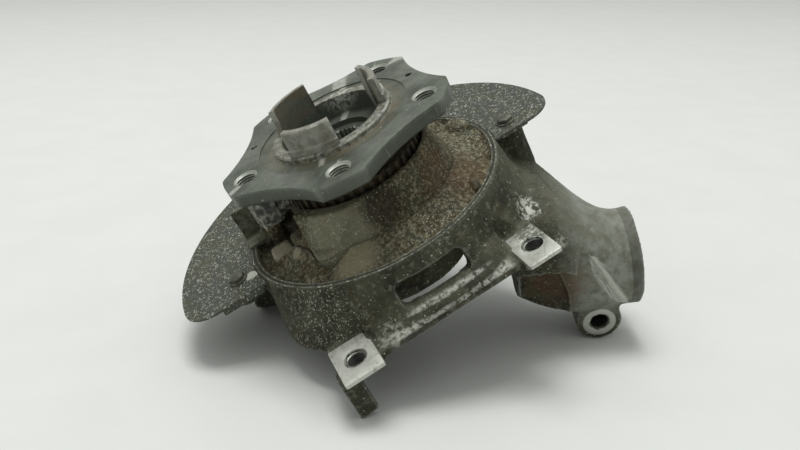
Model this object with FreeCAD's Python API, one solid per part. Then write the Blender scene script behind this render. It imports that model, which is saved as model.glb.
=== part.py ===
import FreeCAD
import Part
import math
import os

# Wheel hub with its bearing, strut knuckle, dust shield and speed sensor.
# Frame in millimetres: the origin is the centre of the wheel face, +Z is the spin axis and
# points outboard, +X points to the caliper side and +Y to the strut side of the knuckle.

# Wheel hub
WHEEL_PCD = 112.0
WHEEL_HOLES = 5
WHEEL_FIRST_ANGLE = -86.75
WHEEL_THREAD_R = 6.2
WHEEL_CHAMFER = 0.9
FLANGE_LOBE_R = WHEEL_PCD / 2 + 12.5
FLANGE_LOBE_HALF = 11.0
FLANGE_VALLEY_R = WHEEL_PCD / 2 + 1.4
FLANGE_T = 8.5
FLANGE_CORNER_R = 5.0
FACE_RECESS_R = WHEEL_PCD / 2 - 10.9
FACE_RECESS_DEPTH = 0.6
SMALL_HOLE_R = 2.0
SMALL_HOLE_RADIUS = WHEEL_PCD / 2 - 4.1
SMALL_HOLE_ANGLES = (236.05, 93.95)
SPIGOT_R = 33.3
SPIGOT_STEP_R = 34.6
SPIGOT_STEP_TOP = 6.5
SPIGOT_TOP = 16.8
SPIGOT_BASE_R = 35.9
SPIGOT_BASE_TOP = 2.2
SPIGOT_BORE_R = 29.6
SPIGOT_SEGMENTS = 3
SPIGOT_SEGMENT_SPAN = 52.0
SPIGOT_FIRST_ANGLE = -33.75
CUP_FLOOR_Z = -9.0
CUP_HOLE_R = 19.5
CUP_HOLE_Z = -12.0
SPLINE_TEETH = 30
SPLINE_MINOR_R = 12.9
SPLINE_MAJOR_R = 14.1
NECK_R = 33.0
NECK_FILLET_TOP_R = 44.0

# Tone ring that the speed sensor reads
TONE_TEETH = 44
TONE_R = 41.3
TONE_ROOT_R = 39.6
TONE_BACK_R = 36.6
TONE_TOP_Z = -21.0
TONE_T = 9.0

# Bearing
BALL_R = 5.95
BALL_COUNT = 12
BALL_PITCH_R = 31.0
ROW_OUT_Z = -46.5
ROW_IN_Z = -72.0
RACE_CLEARANCE = 0.05
HUB_RACE_R = BALL_PITCH_R - 3.4
INNER_RING_BORE_R = BALL_PITCH_R - BALL_R - 3.05
INNER_RING_TOP_Z = -60.0
OUTER_RING_TOP_Z = -33.0
OUTER_RING_END_Z = -85.0
OUTER_RING_LAND_R = BALL_PITCH_R + 3.4
SEAL_BORE_R = BALL_PITCH_R + BALL_R + RACE_CLEARANCE
SEAL_T = 4.5
SEAL_CLEARANCE = 0.08
PILOT_R = SEAL_BORE_R + 3.5
BEARING_FLANGE_HALF = PILOT_R + 6.0
BEARING_EAR = (42.5, 31.0)
BEARING_FLANGE_FRONT_Z = -43.0
GUARD_R = TONE_R + 1.7
GUARD_T = 2.0
GUARD_TOP_Z = -25.0
FLARE_R = PILOT_R + 12.5
FLARE_Z = -45.0
LUG_TOP_R = GUARD_R + 6.5
LUG_FOOT_R = GUARD_R + 13.0
GUARD_GAP_X = (-40.0, 19.0)
SEAT_Z = -55.0
BEARING_BOLT_PITCH = PILOT_R + 12.5
BEARING_BOLT_ANGLES = (-45.0, 115.0, 205.0)
BEARING_BOLT_TOP_Z = -47.0
BEARING_BOLT_R = 6.0
BEARING_BOLT_CLEAR = 0.5
COLLAR_T = 3.5
COLLAR_R = INNER_RING_BORE_R + 4.0
CAGE_HALF_T = 1.5
CAGE_POCKET_CLEAR = 0.2

# Knuckle dish
RIM_Z = -50.0
RIM_R = 78.4
RIM_W = 3.6
DISH_DEPTH = 7.0
DISH_PLATE_T = 8.0
SEAT_R = PILOT_R + 16.5
HUB_BOSS_R = PILOT_R + 12.5
HUB_BOSS_END_Z = -97.0
BOLT_FACE_Z = -72.0
SKIRT_BOTTOM_Z = -84.0
SKIRT_WALL = 6.0
# Skirt's lower edge: (angle, how far it stands out beyond the rim)
SKIRT_OUTLINE = (
    (-90, 1.0), (-75, 5.0), (-60, 13.0), (-48, 15.0), (-36, 12.0), (-24, 15.0),
    (-10, 16.0), (4, 16.0), (18, 16.5), (32, 11.0), (46, 8.0), (60, 9.0),
    (76, 8.0), (100, 3.0), (130, 1.0), (180, 0.5), (230, 0.5), (254, 0.5),
)

# Caliper bosses
CALIPER_X = 88.0
CALIPER_Y = (-56.4, 51.8)
CALIPER_FACE_Z = -78.0
CALIPER_HOLE_R = 6.5
CALIPER_SLEEVE_T = 1.0
CALIPER_SLEEVE_L = 9.0
CALIPER_SLEEVE_SLIT = 0.9
CALIPER_HOLE_LENGTH = 11.0
PAD_X = (71.0, 103.5)
PAD_HALF = 11.5
STUB_X = (87.0, 98.0)
STUB_Y = (-70.0, -59.0)
STUB_END_Z = -105.5
PAD_UPPER_Y = (40.0, 60.5)

# Window in the skirt and the lip under it
WINDOW_Y = (-21.5, 18.5)
WINDOW_Z = (-72.6, -60.0)

# Strut clamp
STRUT_END = (61.0, 114.0, -145.0)
STRUT_PLAN_ANGLE = 69.0
STRUT_LEAN = 15.0
STRUT_OUTER_R = 29.0
STRUT_BORE_R = 23.5
STRUT_BORE_L = 40.0
NECK_L = 72.0
NECK_POCKET_X = 17.0
STRUT_SLIT = 3.0
PINCH_BACK = 25.0
PINCH_OFFSET = 30.5
PINCH_HALF_SPAN = 22.0
PINCH_BOSS_R = 13.5
PINCH_HOLE_R = 5.3
PINCH_FACE_R = 9.8

# Lower ball joint, steering arm and shield posts
BALL_JOINT_AT = (-44.0, -76.0, -94.0)
BALL_JOINT_BOSS_R = 14.0
BALL_JOINT_BORE_R = 8.0
BALL_JOINT_L = 30.0
STEER_AT = (-98.0, 14.0, -96.0)
STEER_BOSS_R = 13.0
STEER_BORE_R = 6.5
STEER_L = 22.0

# Dust shield
SHIELD_R = 122.5
SHIELD_CENTRE_Y = -3.5
SHIELD_TOP_Z = -52.0
SHIELD_T = 1.2
SHIELD_BORE_R = RIM_R + 3.6
SHIELD_EDGE_X = 21.0
SHIELD_LIP = 4.5
SHIELD_LIP_T = 1.2
SHIELD_POSTS = ((84.9, -84.0), (-89.4, -66.0), (180.0, -72.0))
SHIELD_POST_R = 8.0
SHIELD_POST_OUT = 12.3
SHIELD_HOLE_R = 3.2
SHIELD_SCREW_R = 3.0
SHIELD_HEAD_R = 6.0
SHIELD_HEAD_T = 4.0

# Speed sensor on its pedestal beside the tone ring
SENSOR_ANGLE = -95.0
SENSOR_AIR_GAP = 0.9
SENSOR_Z = -26.5
SENSOR_R = 6.0
SENSOR_TOP_Z = -17.5
SENSOR_LUG_T = 4.5
SENSOR_LUG_Z = -34.0
SENSOR_BOLT_AT = (-24.0, -57.0)
SENSOR_BOLT_R = 3.0
SENSOR_HEAD_R = 5.0
SENSOR_HEAD_T = 4.5
BRACKET_T = 1.8
BRACKET_AT = (-34.0, -76.0)
RIM_BUMP_ANGLE = 50.0
RIM_BUMP_R = 4.5
DISH_RIB_ANGLE = 103.0
BRACKET_TOP_Z = -30.0

os.makedirs("parts", exist_ok=True)
Z_UP = FreeCAD.Vector(0, 0, 1)


def vec(x, y, z=0.0):
    return FreeCAD.Vector(x, y, z)


def polar(radius, degrees, z=0.0):
    a = math.radians(degrees)
    return vec(radius * math.cos(a), radius * math.sin(a), z)


def save(node, shape):
    shape.exportStep("parts/" + node + ".step")


def cylinder(radius, z_low, z_high, x=0.0, y=0.0):
    return Part.makeCylinder(radius, z_high - z_low, vec(x, y, z_low), Z_UP)


def box(x, y, z):
    return Part.makeBox(x[1] - x[0], y[1] - y[0], z[1] - z[0], vec(x[0], y[0], z[0]))


def revolved(profile):
    """Solid turned about Z from a closed outline of (radius, z) points."""
    points = [vec(r, 0, z) for r, z in profile]
    wire = Part.makePolygon(points + [points[0]])
    return Part.Face(wire).revolve(vec(0, 0, 0), Z_UP, 360)


def smooth_wire(points):
    curve = Part.BSplineCurve()
    curve.interpolate(points, PeriodicFlag=True)
    return Part.Wire(curve.toShape())


def join(shapes):
    """One solid from several that overlap."""
    return shapes[0].multiFuse(shapes[1:]).removeSplitter()


def shield_post_place(angle):
    return polar(RIM_R + SHIELD_POST_OUT, angle)


def hexagon(across_r, z_low, z_high, x=0.0, y=0.0):
    points = [polar(across_r, 60 * k, z_low) + vec(x, y) for k in range(6)]
    face = Part.Face(Part.makePolygon(points + [points[0]]))
    return face.extrude(vec(0, 0, z_high - z_low))


def frame_at(origin, x_dir, z_dir):
    """Placement whose local X and Z run along the two directions."""
    y_dir = z_dir.cross(x_dir)
    m = FreeCAD.Matrix(
        x_dir.x, y_dir.x, z_dir.x, origin.x,
        x_dir.y, y_dir.y, z_dir.y, origin.y,
        x_dir.z, y_dir.z, z_dir.z, origin.z,
        0, 0, 0, 1,
    )
    return FreeCAD.Placement(m)


def soft_rectangle(cx, cy, half_x, half_y, z, power, count=16):
    """Closed smooth outline between an ellipse and a rectangle."""
    points = []
    for k in range(count):
        a = 2 * math.pi * k / count
        c = math.cos(a)
        s = math.sin(a)
        x = cx + half_x * math.copysign(abs(c) ** (2 / power), c)
        y = cy + half_y * math.copysign(abs(s) ** (2 / power), s)
        points.append(vec(x, y, z))
    return smooth_wire(points)


# Axes of the strut clamp: along the strut, towards the caliper side, and the frame on both
lean = math.radians(STRUT_LEAN)
plan = math.radians(STRUT_PLAN_ANGLE)
STRUT_AXIS = vec(math.cos(lean) * math.cos(plan), math.cos(lean) * math.sin(plan), -math.sin(lean))
PINCH_AXIS = vec(math.sin(plan), -math.cos(plan), 0)
STRUT_ORIGIN = vec(*STRUT_END)
STRUT_FRAME = frame_at(STRUT_ORIGIN, PINCH_AXIS, STRUT_AXIS)


def in_strut_frame(shape):
    placed = shape.copy()
    placed.Placement = STRUT_FRAME.multiply(placed.Placement)
    return placed


def flange_outline(z):
    """Lobed edge of the wheel flange: five lobes joined by hollow arcs."""
    step = 360 / WHEEL_HOLES
    edges = []
    for k in range(WHEEL_HOLES):
        a = WHEEL_FIRST_ANGLE + k * step
        start = polar(FLANGE_LOBE_R, a - FLANGE_LOBE_HALF, z)
        end = polar(FLANGE_LOBE_R, a + FLANGE_LOBE_HALF, z)
        following = polar(FLANGE_LOBE_R, a + step - FLANGE_LOBE_HALF, z)
        edges.append(Part.Arc(start, polar(FLANGE_LOBE_R, a, z), end).toShape())
        edges.append(Part.Arc(end, polar(FLANGE_VALLEY_R, a + step / 2, z), following).toShape())
    return Part.Wire(edges)


def spline_cutter(z_low, z_high):
    """Toothed bore: one closed outline with a trapezoid space for each tooth."""
    pitch = 360 / SPLINE_TEETH
    points = []
    for k in range(SPLINE_TEETH):
        a = k * pitch
        points.append(polar(SPLINE_MINOR_R, a, z_low))
        points.append(polar(SPLINE_MINOR_R, a + pitch * 0.42, z_low))
        points.append(polar(SPLINE_MAJOR_R, a + pitch * 0.58, z_low))
        points.append(polar(SPLINE_MAJOR_R, a + pitch * 0.84, z_low))
    face = Part.Face(Part.makePolygon(points + [points[0]]))
    return face.extrude(vec(0, 0, z_high - z_low))


def race_groove(z):
    return Part.makeTorus(BALL_PITCH_R, BALL_R + RACE_CLEARANCE, vec(0, 0, z), Z_UP)


INNER_RING_END_Z = OUTER_RING_END_Z + 1.0
HUB_END_Z = INNER_RING_END_Z - COLLAR_T
TONE_BACK_Z = TONE_TOP_Z - TONE_T
RACE_SHOULDER_R = HUB_RACE_R + 0.8


def wheel_hub():
    plate = Part.Face(flange_outline(-FLANGE_T)).extrude(vec(0, 0, FLANGE_T))
    corners = [e for e in plate.Edges if abs(e.Length - FLANGE_T) < 1e-6]
    plate = plate.makeFillet(FLANGE_CORNER_R, corners)
    rim_edges = [e for e in plate.Edges if e.BoundBox.ZMax < -FLANGE_T + 1e-6]
    plate = plate.makeChamfer(1.2, rim_edges)
    stem = revolved([
        (0, -1), (NECK_FILLET_TOP_R, -1), (NECK_FILLET_TOP_R, -FLANGE_T),
        (NECK_R + 3, -FLANGE_T - 3), (NECK_R, -FLANGE_T - 8), (NECK_R, TONE_TOP_Z + 1),
        (TONE_BACK_R, TONE_TOP_Z), (TONE_BACK_R, TONE_BACK_Z), (RACE_SHOULDER_R + 2, TONE_BACK_Z - 1),
        (RACE_SHOULDER_R + 2, OUTER_RING_TOP_Z - SEAL_T - 0.5),
        (RACE_SHOULDER_R, OUTER_RING_TOP_Z - SEAL_T - 1.5), (RACE_SHOULDER_R, ROW_OUT_Z),
        (HUB_RACE_R - 2, ROW_OUT_Z - 3), (HUB_RACE_R - 2, INNER_RING_TOP_Z),
        (INNER_RING_BORE_R, INNER_RING_TOP_Z), (INNER_RING_BORE_R, INNER_RING_END_Z),
        (COLLAR_R, INNER_RING_END_Z), (COLLAR_R - 2, HUB_END_Z), (0, HUB_END_Z),
    ])
    spigot = revolved([
        (0, -1), (SPIGOT_BASE_R, -1), (SPIGOT_BASE_R, SPIGOT_BASE_TOP - 0.8),
        (SPIGOT_BASE_R - 0.9, SPIGOT_BASE_TOP), (0, SPIGOT_BASE_TOP),
    ])
    wall = revolved([
        (SPIGOT_BORE_R - 1, 0), (SPIGOT_STEP_R, 0), (SPIGOT_STEP_R, SPIGOT_STEP_TOP - 0.8),
        (SPIGOT_R, SPIGOT_STEP_TOP), (SPIGOT_R, SPIGOT_TOP - 0.6), (SPIGOT_R - 0.7, SPIGOT_TOP),
        (SPIGOT_BORE_R - 1, SPIGOT_TOP),
    ])
    reach = SPIGOT_STEP_R * 1.6
    for k in range(SPIGOT_SEGMENTS):
        gap_mid = SPIGOT_FIRST_ANGLE + (k + 0.5) * 360 / SPIGOT_SEGMENTS
        half = (360 / SPIGOT_SEGMENTS - SPIGOT_SEGMENT_SPAN) / 2
        corner = [vec(0, 0, SPIGOT_BASE_TOP)]
        corner += [polar(reach, gap_mid + t * half, SPIGOT_BASE_TOP) for t in (-1, 0, 1)]
        sector = Part.Face(Part.makePolygon(corner + [corner[0]]))
        wall = wall.cut(sector.extrude(vec(0, 0, SPIGOT_TOP)))
    hub = join([plate, stem, spigot, wall])
    recess = cylinder(FACE_RECESS_R, -FACE_RECESS_DEPTH, 1)
    recess = recess.cut(cylinder(SPIGOT_BASE_R, -FACE_RECESS_DEPTH - 1, 2))
    cuts = [
        recess,
        cylinder(SPIGOT_BORE_R, CUP_FLOOR_Z, SPIGOT_TOP + 1),
        cylinder(CUP_HOLE_R, CUP_HOLE_Z, CUP_FLOOR_Z + 1),
        spline_cutter(HUB_END_Z - 1, CUP_HOLE_Z + 1),
        race_groove(ROW_OUT_Z),
    ]
    for k in range(WHEEL_HOLES):
        at = polar(WHEEL_PCD / 2, WHEEL_FIRST_ANGLE + k * 360 / WHEEL_HOLES)
        cuts.append(cylinder(WHEEL_THREAD_R, -FLANGE_T - 1, 1, at.x, at.y))
        mouth = WHEEL_THREAD_R + WHEEL_CHAMFER
        cuts.append(Part.makeCone(mouth - 1.5, mouth + 0.5, 2.0, vec(at.x, at.y, -1.5), Z_UP))
    for angle in SMALL_HOLE_ANGLES:
        at = polar(SMALL_HOLE_RADIUS, angle)
        cuts.append(cylinder(SMALL_HOLE_R, -FLANGE_T - 1, 1, at.x, at.y))
    return hub.cut(cuts).removeSplitter()


def tone_ring():
    pitch = 360 / TONE_TEETH
    points = []
    for k in range(TONE_TEETH):
        a = k * pitch
        points += [polar(TONE_ROOT_R, a, TONE_BACK_Z), polar(TONE_ROOT_R, a + pitch * 0.45, TONE_BACK_Z)]
        points += [polar(TONE_R, a + pitch * 0.52, TONE_BACK_Z), polar(TONE_R, a + pitch * 0.93, TONE_BACK_Z)]
    ring = Part.Face(Part.makePolygon(points + [points[0]])).extrude(vec(0, 0, TONE_T))
    return ring.cut(cylinder(TONE_BACK_R, TONE_BACK_Z - 1, TONE_TOP_Z + 1))


def inner_ring():
    ring = revolved([
        (INNER_RING_BORE_R, INNER_RING_TOP_Z), (HUB_RACE_R - 2, INNER_RING_TOP_Z),
        (HUB_RACE_R - 2, ROW_IN_Z + 3), (RACE_SHOULDER_R, ROW_IN_Z),
        (RACE_SHOULDER_R, OUTER_RING_END_Z + SEAL_T + 1.5),
        (RACE_SHOULDER_R + 2, OUTER_RING_END_Z + SEAL_T + 0.5),
        (RACE_SHOULDER_R + 2, INNER_RING_END_Z), (INNER_RING_BORE_R, INNER_RING_END_Z),
    ])
    return ring.cut(race_groove(ROW_IN_Z))


def bearing_bolt_places():
    spots = [polar(BEARING_BOLT_PITCH, angle) for angle in BEARING_BOLT_ANGLES]
    return [(spot.x, spot.y) for spot in spots]


def bearing_ear():
    """Square-cornered lug of the outer ring, drawn where the first bolt is."""
    half = BEARING_FLANGE_HALF
    ear = box((half - BEARING_EAR[0], half), (-half, BEARING_EAR[1] - half), (SEAT_Z, BEARING_FLANGE_FRONT_Z))
    upright = [e for e in ear.Edges if abs(e.Length - (BEARING_FLANGE_FRONT_Z - SEAT_Z)) < 1e-6]
    ear = ear.makeFillet(7.0, upright)
    top = [e for e in ear.Edges if e.BoundBox.ZMin > BEARING_FLANGE_FRONT_Z - 1e-6]
    return ear.makeChamfer(1.2, top)


def first_lug_block():
    """Tall part of the first lug, which rises beside the tone ring as high as the guard."""
    height = GUARD_TOP_Z - BEARING_FLANGE_FRONT_Z
    foot = vec(0, 0, BEARING_FLANGE_FRONT_Z - 0.5)
    cone = Part.makeCone(LUG_FOOT_R, LUG_TOP_R, height, foot, Z_UP)
    half = BEARING_FLANGE_HALF
    block = cone.common(box((4, half - 1), (1 - half, -8), (BEARING_FLANGE_FRONT_Z - 0.5, GUARD_TOP_Z)))
    return block.cut(cylinder(GUARD_R, OUTER_RING_TOP_Z, GUARD_TOP_Z + 1))


def guard_gap():
    """Gap in the tone ring's guard, where the sensor looks in."""
    gap = box(GUARD_GAP_X, (-LUG_FOOT_R * 1.3, -30), (BEARING_FLANGE_FRONT_Z, GUARD_TOP_Z + 1))
    foot = box((GUARD_GAP_X[0], 3), (-LUG_FOOT_R * 1.3, -GUARD_R - 0.5), (SEAT_Z - 1, GUARD_TOP_Z + 1))
    return join([gap, foot]).cut(cylinder(PILOT_R, SEAT_Z - 2, OUTER_RING_TOP_Z))


def bearing_outer_ring():
    guard_out = GUARD_R + GUARD_T
    barrel = revolved([
        (OUTER_RING_LAND_R, OUTER_RING_TOP_Z), (GUARD_R, OUTER_RING_TOP_Z), (GUARD_R, GUARD_TOP_Z),
        (guard_out, GUARD_TOP_Z), (guard_out + 1.0, GUARD_TOP_Z - 1.0), (FLARE_R, FLARE_Z),
        (FLARE_R, SEAT_Z), (PILOT_R, SEAT_Z), (PILOT_R, OUTER_RING_END_Z + 1.0),
        (PILOT_R - 1.0, OUTER_RING_END_Z), (OUTER_RING_LAND_R, OUTER_RING_END_Z),
    ])
    ears = [first_lug_block()]
    for angle in BEARING_BOLT_ANGLES:
        ears.append(bearing_ear().rotated(vec(0, 0, 0), Z_UP, angle - BEARING_BOLT_ANGLES[0]))
    cuts = [
        cylinder(OUTER_RING_LAND_R, OUTER_RING_END_Z - 1, OUTER_RING_TOP_Z + 1),
        cylinder(SEAL_BORE_R, OUTER_RING_TOP_Z - SEAL_T, OUTER_RING_TOP_Z + 1),
        cylinder(SEAL_BORE_R, OUTER_RING_END_Z - 1, OUTER_RING_END_Z + SEAL_T),
        race_groove(ROW_OUT_Z),
        race_groove(ROW_IN_Z),
        guard_gap(),
    ]
    for x, y in bearing_bolt_places():
        cuts.append(cylinder(BEARING_BOLT_R, SEAT_Z - 1, BEARING_BOLT_TOP_Z, x, y))
    return join([barrel] + ears).cut(cuts)


def bearing_bolt(x, y):
    shank = cylinder(BEARING_BOLT_R, BOLT_FACE_Z, BEARING_BOLT_TOP_Z, x, y)
    washer = cylinder(BEARING_BOLT_R + 5.5, BOLT_FACE_Z - 2.0, BOLT_FACE_Z, x, y)
    head = hexagon(BEARING_BOLT_R + 4.0, BOLT_FACE_Z - 9.0, BOLT_FACE_Z - 2.0, x, y)
    return join([shank, washer, head])


def seal(z_low, running_r):
    """Sealing ring with a stiff L-shaped case and a lip that runs on the inner race."""
    inner = running_r + SEAL_CLEARANCE
    return revolved([
        (inner, z_low + 1.2), (inner + 1.2, z_low), (SEAL_BORE_R, z_low), (SEAL_BORE_R, z_low + SEAL_T),
        (SEAL_BORE_R - 1.2, z_low + SEAL_T), (SEAL_BORE_R - 1.2, z_low + 1.6), (inner + 1.4, z_low + 1.8),
        (inner, z_low + 2.4),
    ])


def ball_row(z):
    balls = []
    for k in range(BALL_COUNT):
        balls.append(Part.makeSphere(BALL_R, polar(BALL_PITCH_R, k * 360 / BALL_COUNT, z)))
    return Part.makeCompound(balls)


def cage(z, side):
    """Ring of pockets on one side of the balls, with fingers between them."""
    edge = z + side * (BALL_R + 1.6)
    low = min(z - side * 1.0, edge)
    high = max(z - side * 1.0, edge)
    ring = cylinder(BALL_PITCH_R + CAGE_HALF_T, low, high)
    ring = ring.cut(cylinder(BALL_PITCH_R - CAGE_HALF_T, low - 1, high + 1))
    pockets = []
    for k in range(BALL_COUNT):
        at = polar(BALL_PITCH_R, k * 360 / BALL_COUNT, z)
        pockets.append(Part.makeSphere(BALL_R + CAGE_POCKET_CLEAR, at))
    return ring.cut(pockets)


def skirt_wire(z, swell, offset):
    """Outline of the knuckle's skirt: round under the rim, swelling towards the caliper side."""
    points = []
    for angle, stand_out in SKIRT_OUTLINE:
        points.append(polar(RIM_R + 0.6 + stand_out * swell - offset, angle, z))
    return smooth_wire(points)


def skirt():
    """Wall under the rim, open below, with a rounded lower edge."""
    top_z = RIM_Z - 1.5
    mid_z = (top_z + SKIRT_BOTTOM_Z) / 2
    outer = Part.makeLoft([
        skirt_wire(top_z, 0.0, 0.0), skirt_wire(mid_z, 0.42, 0.0),
        skirt_wire(SKIRT_BOTTOM_Z + 7, 0.93, 0.0), skirt_wire(SKIRT_BOTTOM_Z + 3, 1.0, 0.0),
        skirt_wire(SKIRT_BOTTOM_Z, 1.0, 2.5),
    ], True, True)
    inner = Part.makeLoft([
        skirt_wire(RIM_Z - DISH_DEPTH - 2.5, 0.0, SKIRT_WALL),
        skirt_wire(SKIRT_BOTTOM_Z - 1, 1.0, SKIRT_WALL + 1.0),
    ], True)
    # The skirt is deep on the caliper side and shallow on the other
    far = RIM_R * 1.6
    back_z = RIM_Z - 2
    slope = [
        vec(20, -far, SKIRT_BOTTOM_Z), vec(-far, -far, back_z), vec(-far, -far, SKIRT_BOTTOM_Z - far),
        vec(20, -far, SKIRT_BOTTOM_Z - far),
    ]
    wedge = Part.Face(Part.makePolygon(slope + [slope[0]])).extrude(vec(0, 2 * far, 0))
    return outer.cut(inner).cut(wedge)


def dish():
    """Rim lip, shallow floor and the boss that holds the bearing."""
    floor_z = RIM_Z - DISH_DEPTH
    plate_z = floor_z - DISH_PLATE_T
    return revolved([
        (PILOT_R, SEAT_Z), (SEAT_R, SEAT_Z), (SEAT_R + 2, floor_z), (RIM_R - RIM_W - 3, floor_z),
        (RIM_R - RIM_W - 0.6, floor_z + 2.5), (RIM_R - RIM_W, RIM_Z + -0.4), (RIM_R - RIM_W + 0.6, RIM_Z),
        (RIM_R - 0.6, RIM_Z), (RIM_R, RIM_Z - 0.6), (RIM_R, plate_z + 2), (RIM_R - 5, plate_z),
        (HUB_BOSS_R + 8, plate_z), (HUB_BOSS_R + 8, BOLT_FACE_Z), (HUB_BOSS_R, BOLT_FACE_Z),
        (HUB_BOSS_R - 5, BOLT_FACE_Z - 6), (HUB_BOSS_R - 7, HUB_BOSS_END_Z), (PILOT_R, HUB_BOSS_END_Z),
    ])


def caliper_boss(y_low, y_high):
    """Lug under a caliper pad: thin at its outer edge and deep where it meets the skirt."""
    z = CALIPER_FACE_Z
    outline = [
        (PAD_X[0] - 6, z - 2), (PAD_X[0], z), (PAD_X[1], z), (PAD_X[1], z - 1.5),
        (PAD_X[1] - 17, z - 12), (PAD_X[1] - 27, z - 15), (PAD_X[0] - 12, z - 12),
    ]
    points = [vec(x, y_low, height) for x, height in outline]
    return Part.Face(Part.makePolygon(points + [points[0]])).extrude(vec(0, y_high - y_low, 0))


def bar(start, end, half_start, half_end, power=3.0):
    """Arm with a rounded section between two points, thicker at one end than the other."""
    along = end - start
    length = along.Length
    along.normalize()
    side = along.cross(Z_UP)
    side.normalize()
    sections = [
        soft_rectangle(0, 0, half_start[0], half_start[1], 0, power),
        soft_rectangle(0, 0, half_end[0], half_end[1], length, power),
    ]
    arm = Part.makeLoft(sections, True)
    arm.Placement = frame_at(start, side, along)
    return arm


def strut_neck():
    """Body that runs from the dish to the clamp, in the clamp's own frame."""
    r = STRUT_OUTER_R
    sections = [
        soft_rectangle(-23, -22, 50, 33, -NECK_L, 3.6),
        soft_rectangle(-9, -9, 40, 36, -NECK_L * 0.55, 3.0),
        soft_rectangle(0, 0, r, r, -12, 2.0),
        soft_rectangle(0, 0, r, r, 0, 2.0),
    ]
    neck = Part.makeLoft(sections, True).cut(neck_cuts())
    return in_strut_frame(neck)


def neck_prism(outline, x_low, x_high):
    """Prism across the neck from (distance along the strut, height above its axis) points."""
    points = [vec(x_low, -up, along) for along, up in outline]
    return Part.Face(Part.makePolygon(points + [points[0]])).extrude(vec(x_high - x_low, 0, 0))


def neck_cuts():
    """Pocket in the caliper side of the neck, its shallow end and the facet beside it."""
    wall = STRUT_BORE_R + 1.5
    end = -STRUT_BORE_L - 3
    deep_outline = [(-70, 16), (-52, 17), (end - 4, 10), (end, -4), (end, -40), (-70, -46)]
    shallow_outline = [(-52, 16), (-46, 17), (-38, 12), (-31, -4), (-22, -18), (-20, -34), (-52, -40)]
    facet_outline = [
        (-36, 27), (-25, 19), (-17, 6), (-11, -6), (-7, -16), (-12, -21), (-23, -19), (-32, -4), (-39, 12),
    ]
    deep = neck_prism(deep_outline, NECK_POCKET_X, 60)
    deep = deep.makeFillet(5.0, [e for e in deep.Edges if e.BoundBox.XMax < 50])
    return [deep, neck_prism(shallow_outline, wall, 60), neck_prism(facet_outline, wall + 0.5, 60)]


def pinch_ears():
    at = -PINCH_BACK
    span = PINCH_HALF_SPAN
    boss = Part.makeCylinder(PINCH_BOSS_R, 2 * span, vec(-span, PINCH_OFFSET, at), vec(1, 0, 0))
    face = Part.makeCylinder(PINCH_FACE_R, 2 * span + 1.2, vec(-span - 0.6, PINCH_OFFSET, at), vec(1, 0, 0))
    web = box((-span + 1, span - 1), (0, PINCH_OFFSET), (at - PINCH_BOSS_R + 1, at + PINCH_BOSS_R - 1))
    return in_strut_frame(join([boss, face, web]))


def strut_cuts():
    bore = cylinder(STRUT_BORE_R, -STRUT_BORE_L, 1)
    mouth = Part.makeCone(STRUT_BORE_R, STRUT_BORE_R + 2, 2, vec(0, 0, -1.5), Z_UP)
    drain = cylinder(9.0, -STRUT_BORE_L - 30, -STRUT_BORE_L + 1)
    slit = box((-STRUT_SLIT / 2, STRUT_SLIT / 2), (0, 80), (-STRUT_BORE_L - 2, 1))
    bolt = Part.makeCylinder(PINCH_HOLE_R, 100, vec(-50, PINCH_OFFSET, -PINCH_BACK), vec(1, 0, 0))
    head_start = vec(-PINCH_HALF_SPAN - 0.6, PINCH_OFFSET, -PINCH_BACK)
    head_room = Part.makeCylinder(PINCH_FACE_R + 1.2, 40, head_start, vec(-1, 0, 0))
    pocket = box((-68, -34), (-18, 80), (-NECK_L - 12, -STRUT_BORE_L))
    return [in_strut_frame(c) for c in (bore, mouth, drain, slit, bolt, head_room, pocket)]


def rounded_block(x, y, z, corner_r, edge_r=0.0):
    """Block with rounded upright corners and, where asked, a rounded top edge."""
    block = box(x, y, z)
    upright = [e for e in block.Edges if abs(e.Vertexes[0].Z - e.Vertexes[-1].Z) > 1e-6]
    block = block.makeFillet(corner_r, upright)
    if edge_r:
        block = block.makeFillet(edge_r, [e for e in block.Edges if e.BoundBox.ZMin > z[1] - 1e-6])
    return block


def sensor_pedestal():
    x, y = SENSOR_BOLT_AT
    return rounded_block((x - 8, x + 10), (y - 6, y + 5), (RIM_Z - DISH_DEPTH - 1, SENSOR_LUG_Z), 4.0)


def sensor_pad():
    return rounded_block((-8, 11), (-67, -54), (RIM_Z - DISH_DEPTH - 1, RIM_Z), 4.5)


def seat_land():
    """Smooth raised land of the casting beside the bearing's first lug."""
    x = (BEARING_FLANGE_HALF + 0.3, RIM_R - 11.4)
    return rounded_block(x, (-46, -17), (RIM_Z - DISH_DEPTH - 1, RIM_Z - 1), 8.0, 4.0)


def rim_bump():
    a = polar(70, RIM_BUMP_ANGLE - 6, RIM_Z - 3)
    b = polar(70, RIM_BUMP_ANGLE + 6, RIM_Z - 3)
    return join([
        Part.makeCylinder(RIM_BUMP_R, (b - a).Length, a, b - a),
        Part.makeSphere(RIM_BUMP_R, a), Part.makeSphere(RIM_BUMP_R, b),
    ])


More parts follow.
